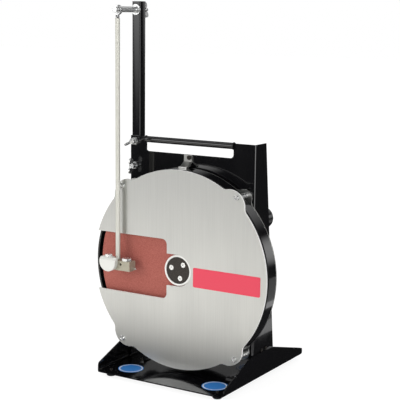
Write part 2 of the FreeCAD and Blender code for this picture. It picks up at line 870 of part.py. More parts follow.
# A round sheet with four ears for the long screws.
def eared_sheet(label, front, thickness, bore_radius, ear_size):
    body = new_body(label)
    offset = f"0 - {front}"
    disc = rings(new_sketch(body, "XZ_Plane", offset), [("0", hub_z, "cover_radius")])
    pad(body, disc, thickness, reverse=True)
    for sx, sz in CORNERS:
        spot = ear_spot(f"{bolt_circle} + ear_margin - {ear_size}", sx, sz)
        ear = rings(new_sketch(body, "XZ_Plane", offset), [(*spot, ear_size)])
        pad(body, ear, thickness, reverse=True)
    middle_y = value(f"{front} + ({thickness}) / 2")
    rim = value("cover_radius")
    hub_height = value(hub_z)

    rounded(body, "ear_blend", lambda at: near(at.y, middle_y)
            and near(math.hypot(at.x, at.z - hub_height), rim))
    holes = [("0", hub_z, bore_radius)]
    holes += [(*ear_spot(bolt_circle, sx, sz), "thread_medium + hole_clearance")
              for sx, sz in CORNERS]
    through_pocket(body, rings(new_sketch(body, "XZ_Plane"), holes))
    return body


def make_cover_stack():
    cover = eared_sheet("front_cover", hub_y, "cover_sheet", "hub_window_radius", "ear_radius")
    curve_x = "0 - window_reach - window_corner"
    low_z = f"{hub_z} - window_half + window_corner"
    high_z = f"{hub_z} + window_half - window_corner"
    window = [
        (f"0 - cover_radius - {over}", f"{hub_z} - window_half"),
        (curve_x, f"{hub_z} - window_half"), ("0 - window_reach", low_z),
        ("0 - window_reach", high_z), (curve_x, f"{hub_z} + window_half"),
        (f"0 - cover_radius - {over}", f"{hub_z} + window_half"),
    ]
    window_bends = [(1, (curve_x, low_z), "window_corner"), (3, (curve_x, high_z), "window_corner")]
    through_pocket(cover, outline(new_sketch(cover, "XZ_Plane"), window, window_bends))
    neck_low = f"{hub_z} - hub_window_radius"
    neck_high = f"{hub_z} + hub_window_radius"
    neck_left = "0 - window_reach - window_corner"
    through_pocket(cover, outline(new_sketch(cover, "XZ_Plane"), [
        (neck_left, neck_low), ("0", neck_low), ("0", neck_high), (neck_left, neck_high)]))

    rear = eared_sheet("rear_plate", rear_front, "rear_sheet", "rear_bore_radius", "rear_ear_radius")
    through_pocket(rear, rings(new_sketch(rear, "XZ_Plane"), [
        (x, z, "thread_small + hole_clearance") for x, z in rivet_spots()]))

    wall_in = "cover_radius - guard_wall"
    guard = turned("guard_ring", [
        ("cover_radius", "0"), ("cover_radius", "guard_depth"),
        (f"{wall_in} - guard_lip", "guard_depth"),
        (f"{wall_in} - guard_lip", "guard_depth - guard_sheet"),
        (wall_in, "guard_depth - guard_sheet"), (wall_in, "0"),
    ], ("0", f"{hub_y} + guard_setback", hub_z))
    lip_holes = []
    for index in range(rivet_count):
        x, y = polar(rivet_circle, rivet_angle(index))
        lip_holes.append((x, f"0 - {y}", "thread_small + hole_clearance"))
    through_pocket(guard, rings(new_sketch(guard), lip_holes))

    rivets = []
    for x, z in rivet_spots():
        spot = (x, f"{rear_front} - guard_sheet", z)
        shank = cylinder("thread_small", "guard_sheet + rear_sheet + rivet_head", spot, "+y")
        front_head = cylinder("head_radius", "rivet_head", shifted(spot, "-y", "rivet_head"), "+y")
        rear_head = cylinder("head_radius", "rivet_head", (x, rear_back, z), "+y")
        rivets.append(joined(shank, front_head, rear_head))
    subpart("guard_rivets", grouped(rivets))

    spacers = []
    standoffs = []
    screws = []
    for sx, sz in CORNERS:
        x, z = ear_spot(bolt_circle, sx, sz)
        bore = "thread_medium + hole_clearance"
        spacers.append(tube((x, f"{hub_y} + cover_sheet", z), "+y", "spacer_radius", bore,
                            "guard_setback + guard_depth - cover_sheet"))
        standoffs.append(tube((x, rear_back, z), "+y", "standoff_radius", bore,
                              f"{panel_front} - {rear_back}"))
        screws.append(screw((x, hub_y, z), "+y", "thread_medium", "panel_setback + stand_sheet",
                            "head_radius", "head_height"))
    subpart("cover_spacers", grouped(spacers))
    subpart("rear_standoffs", grouped(standoffs))
    subpart("cover_screws", grouped(screws))
    label = new_body("cover_label")
    label_right = "cover_radius - label_margin"
    label_low = f"{hub_z} - label_drop"
    label_high = f"{label_low} + label_height"
    film = outline(new_sketch(label, "XZ_Plane", f"label_sheet - {hub_y}"), [
        ("label_left", label_low), (label_right, label_low), (label_right, label_high),
        ("label_left", label_high)])
    pad(label, film, "label_sheet", reverse=True)
    rounded(label, "label_corner", edge_at(y=f"{hub_y} - label_sheet / 2"))
    subpart("floor_stickers", grouped([
        cylinder("sticker_radius", "sticker_sheet",
                 (f"sticker_shift {side} sticker_spread", "sticker_setback - base_depth / 2",
                  floor_top))
        for side in SIDES]))


def rivet_angle(index):
    return 360 / rivet_count * (index + 0.5)


def rivet_spots():
    spots = []
    for index in range(rivet_count):
        x, z = polar(rivet_circle, rivet_angle(index))
        spots.append((x, f"{hub_z} + {z}"))
    return spots


# Bent bracket that ties the top of the guard ring to the panel.
def make_guard_bracket():
    body = new_body("guard_bracket")
    low = f"({hub_z} + cover_radius + hole_clearance)"
    leg_face = f"({panel_front} - bracket_sheet)"
    tip_end = f"({panel_front} - bracket_reach)"
    tip_start = f"({tip_end} + bracket_tip)"
    slant_low = f"({low} + bracket_sheet)"
    slant_high = f"({slant_low} + ({leg_face} - {tip_start}) * tan(bracket_slant))"
    under_drop = "(bracket_sheet / cos(bracket_slant))"
    under_start = f"({tip_start} + ({under_drop} - bracket_sheet) / tan(bracket_slant))"
    under_high = f"({slant_high} + bracket_sheet * tan(bracket_slant) - {under_drop})"
    profile = [
        (panel_front, under_high), (panel_front, notch_z), (leg_face, notch_z),
        (leg_face, slant_high), (tip_start, slant_low), (tip_end, slant_low), (tip_end, low),
        (under_start, low),
    ]
    offset = "0 - bracket_shift - bracket_width / 2"
    pad(body, outline(new_sketch(body, "YZ_Plane", offset), profile), "bracket_width")
    hole = "thread_small + hole_clearance"
    through_pocket(body, rings(new_sketch(body, "XZ_Plane"),
                               [("0 - bracket_screw_shift", bracket_screw_z, hole)]))


# Grinding disc: abrasive sheet on an alloy platter, clamped to the hub on the motor shaft.
def make_disc():
    face = f"({hub_y} + abrasive_setback)"
    at_face = ("0", face, hub_z)
    subpart("abrasive_disc", tube(at_face, "+y", disc_radius,
                                  "spigot_radius + hole_clearance", "abrasive_thickness"))
    bore = "spigot_radius + running_clearance"
    turned("platter", [
        (bore, "0"), (disc_radius, "0"), (disc_radius, "disc_rim"),
        ("hub_flange_radius + disc_step", "platter_thickness"), (bore, "platter_thickness"),
    ], ("0", f"{face} + abrasive_thickness", hub_z))

    stack = "(abrasive_thickness + platter_thickness)"
    flange = f"({stack} + hub_flange_thickness)"
    shaft_bore = "shaft_nose_radius + press_clearance"
    hub = turned("drive_hub", [
        (shaft_bore, "hole_clearance"), ("spigot_radius", "hole_clearance"),
        ("spigot_radius", stack), ("hub_flange_radius", stack), ("hub_flange_radius", flange),
        ("hub_boss_radius", flange), ("hub_boss_radius", f"{flange} + hub_boss_length"),
        (shaft_bore, f"{flange} + hub_boss_length"),
    ], at_face)
    hub_screw_holes = []
    for angle in HUB_SCREW_ANGLES:
        x, y = polar("hub_screw_circle", angle)
        hub_screw_holes.append((x, f"0 - {y}", "thread_medium + press_clearance"))
    through_pocket(hub, rings(new_sketch(hub), hub_screw_holes))

    ring_front = f"({face} - clamp_height)"
    cap_radius = "(clamp_radius - clamp_wall)"
    ring = turned("clamp_ring", [
        (shaft_bore, "clamp_height - clamp_web"), (cap_radius, "clamp_height - clamp_web"),
        (cap_radius, "0"), ("clamp_radius", "0"), ("clamp_radius", "clamp_height"),
        (shaft_bore, "clamp_height"),
    ], ("0", ring_front, hub_z))
    through_pocket(ring, rings(new_sketch(ring), hub_screw_holes))
    cap_front = f"({face} - clamp_web - hub_cap_thickness)"
    cap_outer = f"({cap_radius} - hole_clearance)"
    cap = turned("hub_cap", [
        ("0", "0"), (f"{cap_outer} - hub_cap_edge", "0"), (cap_outer, "hub_cap_edge"),
        (cap_outer, "hub_cap_thickness"), ("0", "hub_cap_thickness"),
    ], ("0", cap_front, hub_z))
    through_pocket(cap, rings(new_sketch(cap), [
        (x, y, "head_radius + hole_clearance") for x, y, radius in hub_screw_holes]))
    screws = []
    for angle in HUB_SCREW_ANGLES:
        x, z = polar("hub_screw_circle", angle)
        spot = (x, f"{face} - clamp_web", f"{hub_z} + {z}")
        length = f"clamp_web + {stack}"
        screws.append(screw(spot, "+y", "thread_medium", length, "head_radius", "head_height"))
    subpart("hub_screws", grouped(screws))


# Motor: shields, finned housing, stator, rotor, bearings, fan and cowl.
bearing_pocket = "(shield_lip + bearing_width)"
rear_start = "(shield_thickness + housing_length)"
motor_length = "(shield_thickness * 2 + housing_length)"
stator_start = "(shield_thickness + (housing_length - stator_length) / 2)"


def motor_spot(distance="0"):
    return "0", f"{panel_back} + {distance}", hub_z


def shield_profile():
    """Half section of an end shield, from its outer face inwards."""
    seat = "bearing_radius + press_clearance"
    lip = "housing_radius - housing_wall - press_clearance"
    deep = "(shield_thickness + shield_lip)"
    return [
        ("shaft_radius + shaft_clearance", "0"), ("shield_radius", "0"),
        ("shield_radius", "shield_thickness"), (lip, "shield_thickness"), (lip, deep),
        (f"{lip} - shield_lip", deep), (f"{lip} - shield_lip", "shield_wall"),
        ("bearing_seat", "shield_wall"), ("bearing_seat", bearing_pocket),
        (seat, bearing_pocket), (seat, "shield_lip"),
        ("shaft_radius + shaft_clearance", "shield_lip"),
    ]


def make_motor():
    tie_holes = []
    for angle in TIE_ANGLES:
        x, y = polar("tie_circle", f"0 - {angle}")
        tie_holes.append((x, y, "thread_small + hole_clearance"))
    mount_holes = []
    for angle in MOTOR_SCREW_ANGLES:
        x, y = polar("motor_screw_circle", angle)
        mount_holes.append((x, y, "thread_medium + hole_clearance"))
    front = turned("motor_front_shield", shield_profile(), motor_spot())
    through_pocket(front, rings(new_sketch(front), tie_holes + mount_holes))
    rear = turned("motor_rear_shield", shield_profile(), motor_spot(motor_length), "-y")
    through_pocket(rear, rings(new_sketch(rear), [
        (x, f"0 - {y}", radius) for x, y, radius in tie_holes]))

    housing = new_body("motor_housing")
    shell = rings(new_sketch(housing), [
        ("0", "0", "housing_radius"), ("0", "0", "housing_radius - housing_wall")])
    pad(housing, shell, "housing_length")
    fin = outline(new_sketch(housing), [
        ("housing_radius - housing_wall / 2", "0 - fin_thickness / 2"),
        ("housing_radius + fin_rise", "0 - fin_thickness / 2"),
        ("housing_radius + fin_rise", "fin_thickness / 2"),
        ("housing_radius - housing_wall / 2", "fin_thickness / 2")])
    first_fin = pad(housing, fin, "housing_length")
    doc.recompute()
    pattern = housing.newObject("PartDesign::PolarPattern", "fins")
    pattern.Originals = [first_fin]
    pattern.Axis = (shell, ["N_Axis"])
    pattern.Angle = 360
    pattern.Occurrences = fin_count
    housing.Tip = pattern
    put(housing, motor_spot("shield_thickness"), TURNS["+y"])

    stator_radius = "(housing_radius - housing_wall - press_clearance)"
    subpart("stator_core", tube(motor_spot(stator_start), "+y", stator_radius,
                                "stator_bore_radius", "stator_length"))
    ends = [f"{stator_start} - winding_length", f"{stator_start} + stator_length"]
    subpart("stator_windings", grouped([
        tube(motor_spot(start), "+y", "winding_outer_radius", "winding_inner_radius",
             "winding_length") for start in ends]))

    rotor_radius = "(stator_bore_radius - air_gap)"
    core = tube(motor_spot(stator_start), "+y", rotor_radius, "shaft_radius + press_clearance",
                "stator_length")
    cage = tube(motor_spot(f"{stator_start} - cage_thickness"), "+y",
                f"{rotor_radius} - cage_inset", "cage_bore_radius",
                "stator_length + cage_thickness * 2")
    subpart("rotor_core", joined(core, cage))

    nose = f"(0 - {panel_back} + {hub_y} + abrasive_setback + abrasive_thickness)"
    first_seat = "shield_lip"
    second_seat = f"({motor_length} - {bearing_pocket})"
    tail = f"({motor_length} + fan_gap + fan_depth)"
    turned("motor_shaft", [
        ("0", nose), ("shaft_nose_radius", nose), ("shaft_nose_radius", first_seat),
        ("bearing_bore_radius", first_seat), ("bearing_bore_radius", bearing_pocket),
        ("shaft_radius", bearing_pocket), ("shaft_radius", second_seat),
        ("bearing_bore_radius", second_seat),
        ("bearing_bore_radius", f"{second_seat} + bearing_width"),
        ("shaft_tail_radius", f"{second_seat} + bearing_width"), ("shaft_tail_radius", tail),
        ("0", tail),
    ], motor_spot())

    outer_rings = []
    inner_rings = []
    balls = []
    for start in (first_seat, second_seat):
        outer_rings.append(tube(motor_spot(start), "+y", "bearing_radius",
                                "bearing_radius - bearing_wall", "bearing_width"))
        inner_rings.append(tube(motor_spot(start), "+y", "bearing_bore_radius + bearing_wall",
                                "bearing_bore_radius + press_clearance", "bearing_width"))
        for index in range(bearing_ball_count):
            x, z = polar("ball_circle", 360 / bearing_ball_count * index)
            balls.append(ball("ball_radius", (x, f"{panel_back} + {start} + bearing_width / 2",
                                              f"{hub_z} + {z}")))
    subpart("bearing_outer_rings", grouped(outer_rings))
    subpart("bearing_inner_rings", grouped(inner_rings))
    subpart("bearing_balls", grouped(balls))

    fan = new_body("cooling_fan")
    bore = "shaft_tail_radius + press_clearance"
    pad(fan, rings(new_sketch(fan), [("0", "0", "fan_radius"), ("0", "0", bore)]), "fan_web")
    pad(fan, rings(new_sketch(fan), [("0", "0", "fan_boss_radius"), ("0", "0", bore)]),
        "fan_depth")
    blade = outline(new_sketch(fan), [
        ("fan_boss_radius - fan_edge", "0 - fan_web / 2"), ("fan_radius - fan_edge", "0 - fan_web / 2"),
        ("fan_radius - fan_edge", "fan_web / 2"), ("fan_boss_radius - fan_edge", "fan_web / 2")])
    first_blade = pad(fan, blade, "fan_depth")
    doc.recompute()
    blades = fan.newObject("PartDesign::PolarPattern", "blades")
    blades.Originals = [first_blade]
    blades.Axis = (blade, ["N_Axis"])
    blades.Angle = 360
    blades.Occurrences = fan_blade_count
    fan.Tip = blades
    put(fan, motor_spot(f"{motor_length} + fan_gap"), TURNS["+y"])

    cowl_in = "(shield_radius + hole_clearance)"
    cowl_out = f"({cowl_in} + cowl_wall)"
    cowl_end = "(shield_thickness / 2 + cowl_depth)"
    cowl = turned("fan_cowl", [
        (cowl_in, "0"), (cowl_out, "0"), (cowl_out, cowl_end), ("0", cowl_end),
        ("0", f"{cowl_end} - cowl_wall"), (cowl_in, f"{cowl_end} - cowl_wall"),
    ], motor_spot(f"{motor_length} - shield_thickness / 2"))
    vents = []
    for circle, count in enumerate(VENT_COUNTS):
        for index in range(count):
            x, y = polar(f"vent_circle_radius + vent_pitch * {circle}", 360 / count * index)
            vents.append((x, y, "vent_radius"))
    through_pocket(cowl, rings(new_sketch(cowl), vents))

    ties = []
    for angle in TIE_ANGLES:
        x, z = polar("tie_circle", angle)
        spot = (x, f"{panel_back} + {motor_length}", f"{hub_z} + {z}")
        ties.append(cylinder("thread_small", motor_length, spot, "-y"))
    subpart("motor_tie_rods", grouped(ties))
    subpart("motor_screws", grouped([
        screw((x, panel_front, z), "+y", "thread_medium", "stand_sheet + shield_wall",
              "head_radius", "head_height") for x, z in motor_screw_spots()]))


# Run capacitor beside the motor, held to the housing by a clip.
def make_capacitor():
    x, z = polar("capacitor_distance", "capacitor_angle")
    start = f"({panel_back} + capacitor_setback)"
    turned("capacitor", [
        ("0", "0"), ("capacitor_radius", "0"),
        ("capacitor_radius", "capacitor_length - capacitor_dome"),
        ("capacitor_crown", "capacitor_length"), ("0", "capacitor_length"),
    ], (x, start, f"{hub_z} + {z}"))
    clip_y = f"({start} + clip_setback)"
    clip_spot = (x, clip_y, f"{hub_z} + {z}")
    band_inner = "(capacitor_radius + hole_clearance)"
    band = tube(clip_spot, "+y", f"{band_inner} + clip_wall", band_inner, "clip_width")
    foot = doc.addObject("PartDesign::Body", "clip_foot")
    reach_in = "(housing_radius + fin_rise + hole_clearance)"
    reach_out = "(capacitor_distance - capacitor_radius - clip_wall / 2)"
    corners = []
    for reach, side in ((reach_in, "-"), (reach_out, "-"), (reach_out, "+"), (reach_in, "+")):
        aside = f"(0 {side} clip_foot / 2)"
        corners.append((f"{reach} * cos(capacitor_angle) - {aside} * sin(capacitor_angle)",
                        f"{hub_z} + {reach} * sin(capacitor_angle) + {aside} * cos(capacitor_angle)"))
    pad(foot, outline(new_sketch(foot, "XZ_Plane", f"0 - {clip_y}"), corners), "clip_width",
        reverse=True)
    subpart("capacitor_clip", joined(band, cut_away(
        foot, cylinder(band_inner, "clip_width", clip_spot, "+y"))))


# Switch box with lid, rocker and cable gland, on the motor housing.
def make_switch_box():
    low = f"({hub_z} + housing_radius + fin_rise + hole_clearance)"
    front = f"({panel_back} + box_setback)"
    body = block("box_width", "box_depth", "box_height", ("0 - box_width / 2", front, low))
    hollow = block("box_width - box_wall * 2", "box_depth - box_wall * 2",
                   "box_height", ("box_wall - box_width / 2", f"{front} + box_wall",
                                  f"{low} + box_wall"))
    gland_z = f"({low} + box_height / 2)"
    back = f"({front} + box_depth)"
    gland_hole = cylinder("gland_thread_radius + hole_clearance", "box_wall * 3",
                          ("0", f"{back} - box_wall * 2", gland_z), "+y")
    subpart("switch_box", cut_away(body, hollow, gland_hole))
    lid_z = f"({low} + box_height)"
    lid = block("box_width", "box_depth", "lid_thickness", ("0 - box_width / 2", front, lid_z))
    rocker_y = f"({front} + box_depth / 2)"
    opening = block("rocker_width + rocker_gap * 2", "rocker_length + rocker_gap * 2",
                    "lid_thickness", ("0 - rocker_width / 2 - rocker_gap",
                                      f"{rocker_y} - rocker_length / 2 - rocker_gap", lid_z))
    rocker = new_body("switch_rocker")
    half = "(rocker_length / 2)"
    profile = [
        (f"0 - {half}", "rocker_edge"), (f"0 - {half}", "rocker_rise"), ("0", "rocker_dip"),
        (half, "rocker_rise"), (half, "rocker_edge"), ("rocker_root", "0 - rocker_depth / 2"),
        ("0 - rocker_root", "0 - rocker_depth / 2"),
    ]
    pad(rocker, outline(new_sketch(rocker, "YZ_Plane"), profile), "rocker_width", middle=True)
    turn = Rotation(Vector(1, 0, 0), -value("rocker_angle"))
    put(rocker, ("0", rocker_y, f"{lid_z} + lid_thickness / 2"), turn)
    frame_low = f"({lid_z} - rocker_depth)"
    inside_x = "(rocker_width / 2 + switch_gap)"
    inside_y = "(rocker_length / 2 + switch_gap)"
    frame = block(f"({inside_x} + switch_wall) * 2", f"({inside_y} + switch_wall) * 2",
                  "rocker_depth", (f"0 - {inside_x} - switch_wall",
                                   f"{rocker_y} - {inside_y} - switch_wall", frame_low))
    frame_hollow = block(f"{inside_x} * 2", f"{inside_y} * 2", "rocker_depth",
                         (f"0 - {inside_x}", f"{rocker_y} - {inside_y}",
                          f"{frame_low} + switch_wall"))
    subpart("switch_lid", joined(cut_away(lid, opening), cut_away(frame, frame_hollow)))
    gland_at = ("0", back, gland_z)
    nut_body = hexagon("gland_radius", "gland_length / 2", gland_at, "+y")
    dome = cone("gland_dome_radius", "gland_mouth_radius", "gland_length / 2",
                shifted(gland_at, "+y", "gland_length / 2"), "+y")
    thread = cylinder("gland_thread_radius", "gland_thread_length", gland_at, "-y")
    bore = cylinder("gland_bore_radius", "gland_length / 4",
                    shifted(gland_at, "+y", "gland_length * 3 / 4"), "+y")
    subpart("cable_gland", cut_away(joined(nut_body, dome, thread), bore))


# Mast: square tube in a guide behind the panel, clamped by two wing screws.
def make_mast():
    low = f"({hub_z} + mast_rise - mast_length)"
    body = new_body("mast")
    centre_y = f"({mast_front} + mast_side / 2)"
    sketch = new_sketch(body, "XY_Plane", low)
    for half in ("(mast_side / 2)", "(mast_side / 2 - mast_wall)"):
        left = f"{mast_x} - {half}"
        right = f"{mast_x} + {half}"
        near_side = f"{centre_y} - {half}"
        far_side = f"{centre_y} + {half}"
        outline(sketch, [(left, near_side), (right, near_side), (right, far_side),
                         (left, far_side)])
    pad(body, sketch, "mast_length")
    through_pocket(body, rings(new_sketch(body, "XZ_Plane"),
                               [(mast_x, pivot_z, "pivot_radius + hole_clearance")]))
    reach = value("mast_side / 2")
    middle_x = value(mast_x)
    middle_y = value(centre_y)
    rounded(body, "mast_corner", lambda at: near(abs(at.x - middle_x), reach)
            and near(abs(at.y - middle_y), reach))
    cap = new_sketch(body, "XY_Plane", f"{low} + mast_length - mast_wall")
    half = "(mast_side / 2 - mast_wall / 2)"
    outline(cap, [
        (f"{mast_x} - {half}", f"{centre_y} - {half}"), (f"{mast_x} + {half}", f"{centre_y} - {half}"),
        (f"{mast_x} + {half}", f"{centre_y} + {half}"), (f"{mast_x} - {half}", f"{centre_y} + {half}")])
    pad(body, cap, "mast_wall")

    guide = new_body("mast_guide")
    inner_x = f"({mast_x} + mast_side / 2 + mast_gap)"
    inner_y = f"({mast_back} + mast_gap)"
    wall_x = f"(0 - {flange_in})"
    profile = [
        (inner_x, panel_back), (f"{inner_x} + guide_wall", panel_back),
        (f"{inner_x} + guide_wall", f"{inner_y} + guide_wall"), (wall_x, f"{inner_y} + guide_wall"),
        (wall_x, inner_y), (inner_x, inner_y),
    ]
    base = f"{panel_top} - guide_drop - guide_height"
    pad(guide, outline(new_sketch(guide, "XY_Plane", base), profile), "guide_height")

    nuts = []
    for level in (upper_clamp_z, lower_clamp_z):
        nuts.append(nut((mast_x, f"{panel_front} - clamp_nut_height", level), "+y",
                        "clamp_nut_radius", "thread_large + press_clearance",
                        "clamp_nut_height"))
    subpart("clamp_nuts", grouped(nuts))
    tip = f"{mast_front} - press_clearance"
    start = f"({panel_front} - clamp_nut_height - clamp_nut_gap)"
    for place, level in (("upper", upper_clamp_z), ("lower", lower_clamp_z)):
        wing = wing_shape(f"{tip} - {start}")
        subpart(f"{place}_wing_screw", wing)
        put(wing, (mast_x, start, level), Rotation(Vector(0, 1, 0), -WING_ANGLES[place]))


def wing_shape(shank_length):
    """Wing screw in its own frame: shank along +Y from the origin, wings on the -Y side.
    With no shank it is a wing nut with a bore."""
    origin = ("0", "0", "0")
    hub = cylinder("wing_hub_radius", "wing_hub_length", origin, "-y")
    pieces = [hub]
    for side in SIDES:
        lobe_x = f"0 {side} (wing_span - wing_radius)"
        lobe_y = "0 - wing_hub_length - wing_radius / 2"
        pieces.append(cylinder("wing_radius", "wing_thickness",
                               (lobe_x, lobe_y, "0 - wing_thickness / 2")))
    bar = block("(wing_span - wing_radius) * 2", "wing_drop + wing_root", "wing_thickness",
                ("0 - wing_span + wing_radius", "0 - wing_hub_length - wing_root",
                 "0 - wing_thickness / 2"))
    pieces.append(bar)
    if shank_length is None:
        bore = cylinder("pivot_radius + press_clearance", "wing_hub_length + wing_radius * 2",
                        origin, "-y")
        return cut_away(joined(*pieces), bore)
    pieces.append(cylinder("thread_large", shank_length, origin, "+y"))
    return joined(*pieces)


# Pivot of the hanging arm: bolt through the mast with sleeve, washers and wing nut.
def make_pivot():
    centre = (mast_x, arm_y, pivot_z)
    half_ball = "(ball_end_width / 2 + running_clearance)"
    head = shifted(centre, "-y", f"{half_ball} + washer_thickness")
    length = f"({mast_back} + washer_thickness + wing_hub_length + pivot_end) - ({head[1]})"
    subpart("pivot_bolt", screw(head, "+y", "pivot_radius", length, "pivot_head_radius",
                                "pivot_head_height", head="hex"))
    washer_bore = "pivot_radius + press_clearance"
    nut_start = f"({mast_front} - washer_thickness - pivot_nut_height)"
    flange_nut = joined(
        nut((mast_x, nut_start, pivot_z), "+y", "pivot_nut_radius", washer_bore,
            "pivot_nut_height"),
        tube((mast_x, f"{mast_front} - washer_thickness", pivot_z), "+y", "washer_radius",
             washer_bore, "washer_thickness"))
    washers = [
        tube(head, "+y", "end_washer_radius", washer_bore, "washer_thickness"), flange_nut,
        tube((mast_x, mast_back, pivot_z), "+y", "washer_radius", washer_bore,
             "washer_thickness"),
    ]
    subpart("pivot_washers", grouped(washers))
    sleeve_start = shifted(centre, "+y", half_ball)
    subpart("pivot_sleeve", tube(sleeve_start, "+y", "sleeve_radius", washer_bore,
                                 f"{nut_start} - ({sleeve_start[1]})"))
    wing = wing_shape(None)
    subpart("pivot_wing_nut", wing)
    turn = Rotation(Vector(0, 1, 0), WING_ANGLES["nut"]) * Rotation(Vector(0, 0, 1), 180)
    put(wing, (mast_x, f"{mast_back} + washer_thickness", pivot_z), turn)

    sphere = ball("ball_end_radius", centre)
    slab = block("ball_end_radius * 2", "ball_end_width", "ball_end_radius * 2",
                 (f"{mast_x} - ball_end_radius", f"{arm_y} - ball_end_width / 2",
                  f"{pivot_z} - ball_end_radius"))
    bore = cylinder("pivot_radius + running_clearance", "ball_end_width",
                    shifted(centre, "-y", "ball_end_width / 2"), "+y")
    subpart("pivot_ball", cut_away(shared(sphere, slab), bore))


# Hanging arm: an eye round the ball, its stem and the long rod.
def make_arm():
    centre = (mast_x, arm_y, pivot_z)
    low_centre = shifted(centre, "-z", "eye_drop")
    ring = cylinder("eye_radius", "eye_width", shifted(low_centre, "-y", "eye_width / 2"), "+y")
    stem = cylinder("eye_stem_radius", "eye_stem", centre, "-z")
    stud = cylinder("stud_radius", "eye_stem + stud_length", centre, "-z")
    socket = ball("ball_end_radius + running_clearance", centre)
    subpart("arm_eye", cut_away(joined(ring, stem, stud), socket))
    foot = f"({hub_z} + block_top - arm_socket_depth)"
    rod_top = f"({pivot_z} - eye_stem)"
    rod = cylinder("arm_radius", f"{rod_top} - {foot}", (mast_x, arm_y, foot))
    stud_bore = cylinder("stud_radius + press_clearance", "stud_length + mast_gap",
                         (mast_x, arm_y, rod_top), "-z")
    subpart("arm_rod", cut_away(rod, stud_bore))


# Comb holder: clamp block on the rod, finger pad, magnets, pins and screws.
def make_holder():
    block_z = f"({hub_z} + block_top - block_height)"
    block_front = f"({arm_y} - block_depth / 2)"
    block_back = f"({arm_y} + block_depth / 2)"
    body = block("block_left + block_right", "block_depth", "block_height",
                 (f"{mast_x} - block_left", block_front, block_z))
    rod_hole = cylinder("arm_radius + running_clearance", "arm_socket_depth",
                        (mast_x, arm_y, f"{hub_z} + block_top"), "-z")
    face_hole = cylinder("face_hole_radius", "face_hole_depth", (
        f"{mast_x} + face_hole_right", block_front, f"{hub_z} + block_top - face_hole_drop"), "+y")
    magnet_spots = []
    for aside in ("- magnet_left", "+ magnet_right"):
        magnet_spots.append((f"{mast_x} {aside}", f"{block_back} - magnet_height",
                             f"{block_z} + block_height / 2"))
    magnet_holes = [cylinder("magnet_radius + press_clearance", "magnet_height", spot, "+y")
                    for spot in magnet_spots]
    pin_spots = []
    for aside in ("- pin_left", "+ pin_right"):
        pin_spots.append((f"{mast_x} {aside}", f"{block_back} - pin_seat",
                          f"{block_z} + pin_rise"))
    pin_holes = [cylinder("pin_radius + press_clearance", "pin_seat", spot, "+y")
                 for spot in pin_spots]
    side_spot = (f"{mast_x} + block_right - grub_seat", f"{block_back} - grub_inset",
                 f"{block_z} + grub_rise")
    side_hole = cylinder("grub_radius + press_clearance", "grub_seat", side_spot, "+x")
    top_spot = (f"{mast_x} + top_screw_right", arm_y, f"{hub_z} + block_top")
    top_hole = cylinder("thread_small + press_clearance", "top_screw_length + shelf_gap",
                        top_spot, "-z")
    subpart("holder_block", cut_away(body, rod_hole, face_hole, side_hole, top_hole,
                                     *magnet_holes, *pin_holes))
    subpart("holder_magnets", grouped([cylinder("magnet_radius", "magnet_height", spot, "+y")
                                       for spot in magnet_spots]))
    subpart("comb_pins", grouped([cylinder("pin_radius", "pin_seat + pin_stand", spot, "+y")
                                  for spot in pin_spots]))

    pad_x = f"({mast_x} - pad_shift)"
    pad_z = f"({hub_z} + pad_centre)"
    pad_back = f"({block_front} - press_clearance)"
    pad_front = f"({pad_back} - pad_thickness)"
    body = new_body("finger_pad")
    offset = f"0 - {pad_front}"
    disc = rings(new_sketch(body, "XZ_Plane", offset), [(pad_x, pad_z, "pad_radius")])
    pad(body, disc, "pad_thickness", reverse=True)
    top = f"({hub_z} + pad_top)"
    straight = outline(new_sketch(body, "XZ_Plane", offset), [
        (f"{pad_x} - pad_radius", pad_z), (f"{pad_x} + pad_radius", pad_z),
        (f"{pad_x} + pad_radius", top), (f"{pad_x} - pad_radius", top)])
    pad(body, straight, "pad_thickness", reverse=True)
    dome = outline(new_sketch(body, "XZ_Plane"), [
        (f"{pad_x} - pad_radius - {over}", top), (f"{pad_x} + pad_radius + {over}", top),
        (f"{pad_x} + pad_radius + {over}", f"{top} + pad_radius"),
        (f"{pad_x} - pad_radius - {over}", f"{top} + pad_radius")])
    through_pocket(body, dome)
    shelf_right = f"({mast_x} - arm_radius - shelf_gap)"
    shelf = outline(new_sketch(body, "XZ_Plane", offset), [
        (f"{pad_x} - pad_radius", f"{hub_z} + block_top + press_clearance"),
        (shelf_right, f"{hub_z} + block_top + press_clearance"),
        (shelf_right, top), (f"{pad_x} - pad_radius", top)])
    pad(body, shelf, "pad_thickness + press_clearance + shelf_reach", reverse=True)
    bevel = outline(new_sketch(body, "YZ_Plane"), [
        (f"{pad_front} - {over}", f"{top} - pad_bevel - {over}"),
        (f"{pad_front} + pad_bevel + {over}", f"{top} + {over}"),
        (f"{pad_front} - {over}", f"{top} + {over}")])
    through_pocket(body, bevel)
    pad_screw = hexagon("hex_radius", "hex_height", (f"{pad_x} - pad_screw_shift", pad_back, top))
    top_screw = joined(hexagon("top_screw_radius", "hex_height", top_spot),
                       cylinder("thread_small", "top_screw_length", top_spot, "-z"))
    grub = cylinder("grub_radius", "grub_length", side_spot, "+x")
    subpart("holder_screws", grouped([pad_screw, top_screw, grub]))


make_feet()
make_base_plate()
make_stand()
make_stand_fittings()
make_cover_stack()
make_guard_bracket()
make_disc()
make_motor()
make_capacitor()
make_switch_box()
make_mast()
make_pivot()
make_arm()
make_holder()
doc.recompute()

# Every object must have rebuilt cleanly before any file is written.
for item in doc.Objects:
    if "Invalid" in item.State or "Error" in item.State:
        raise RuntimeError(f"{item.Label} did not rebuild: {item.State}")
for item in subparts:
    if item.Shape.isNull() or not item.Shape.isValid():
        raise RuntimeError(f"{item.Label} has no valid shape")
for item in subparts:
    item.Shape.exportStep(f"parts/{item.Label}.step")
print(len(subparts), "sub-parts written")
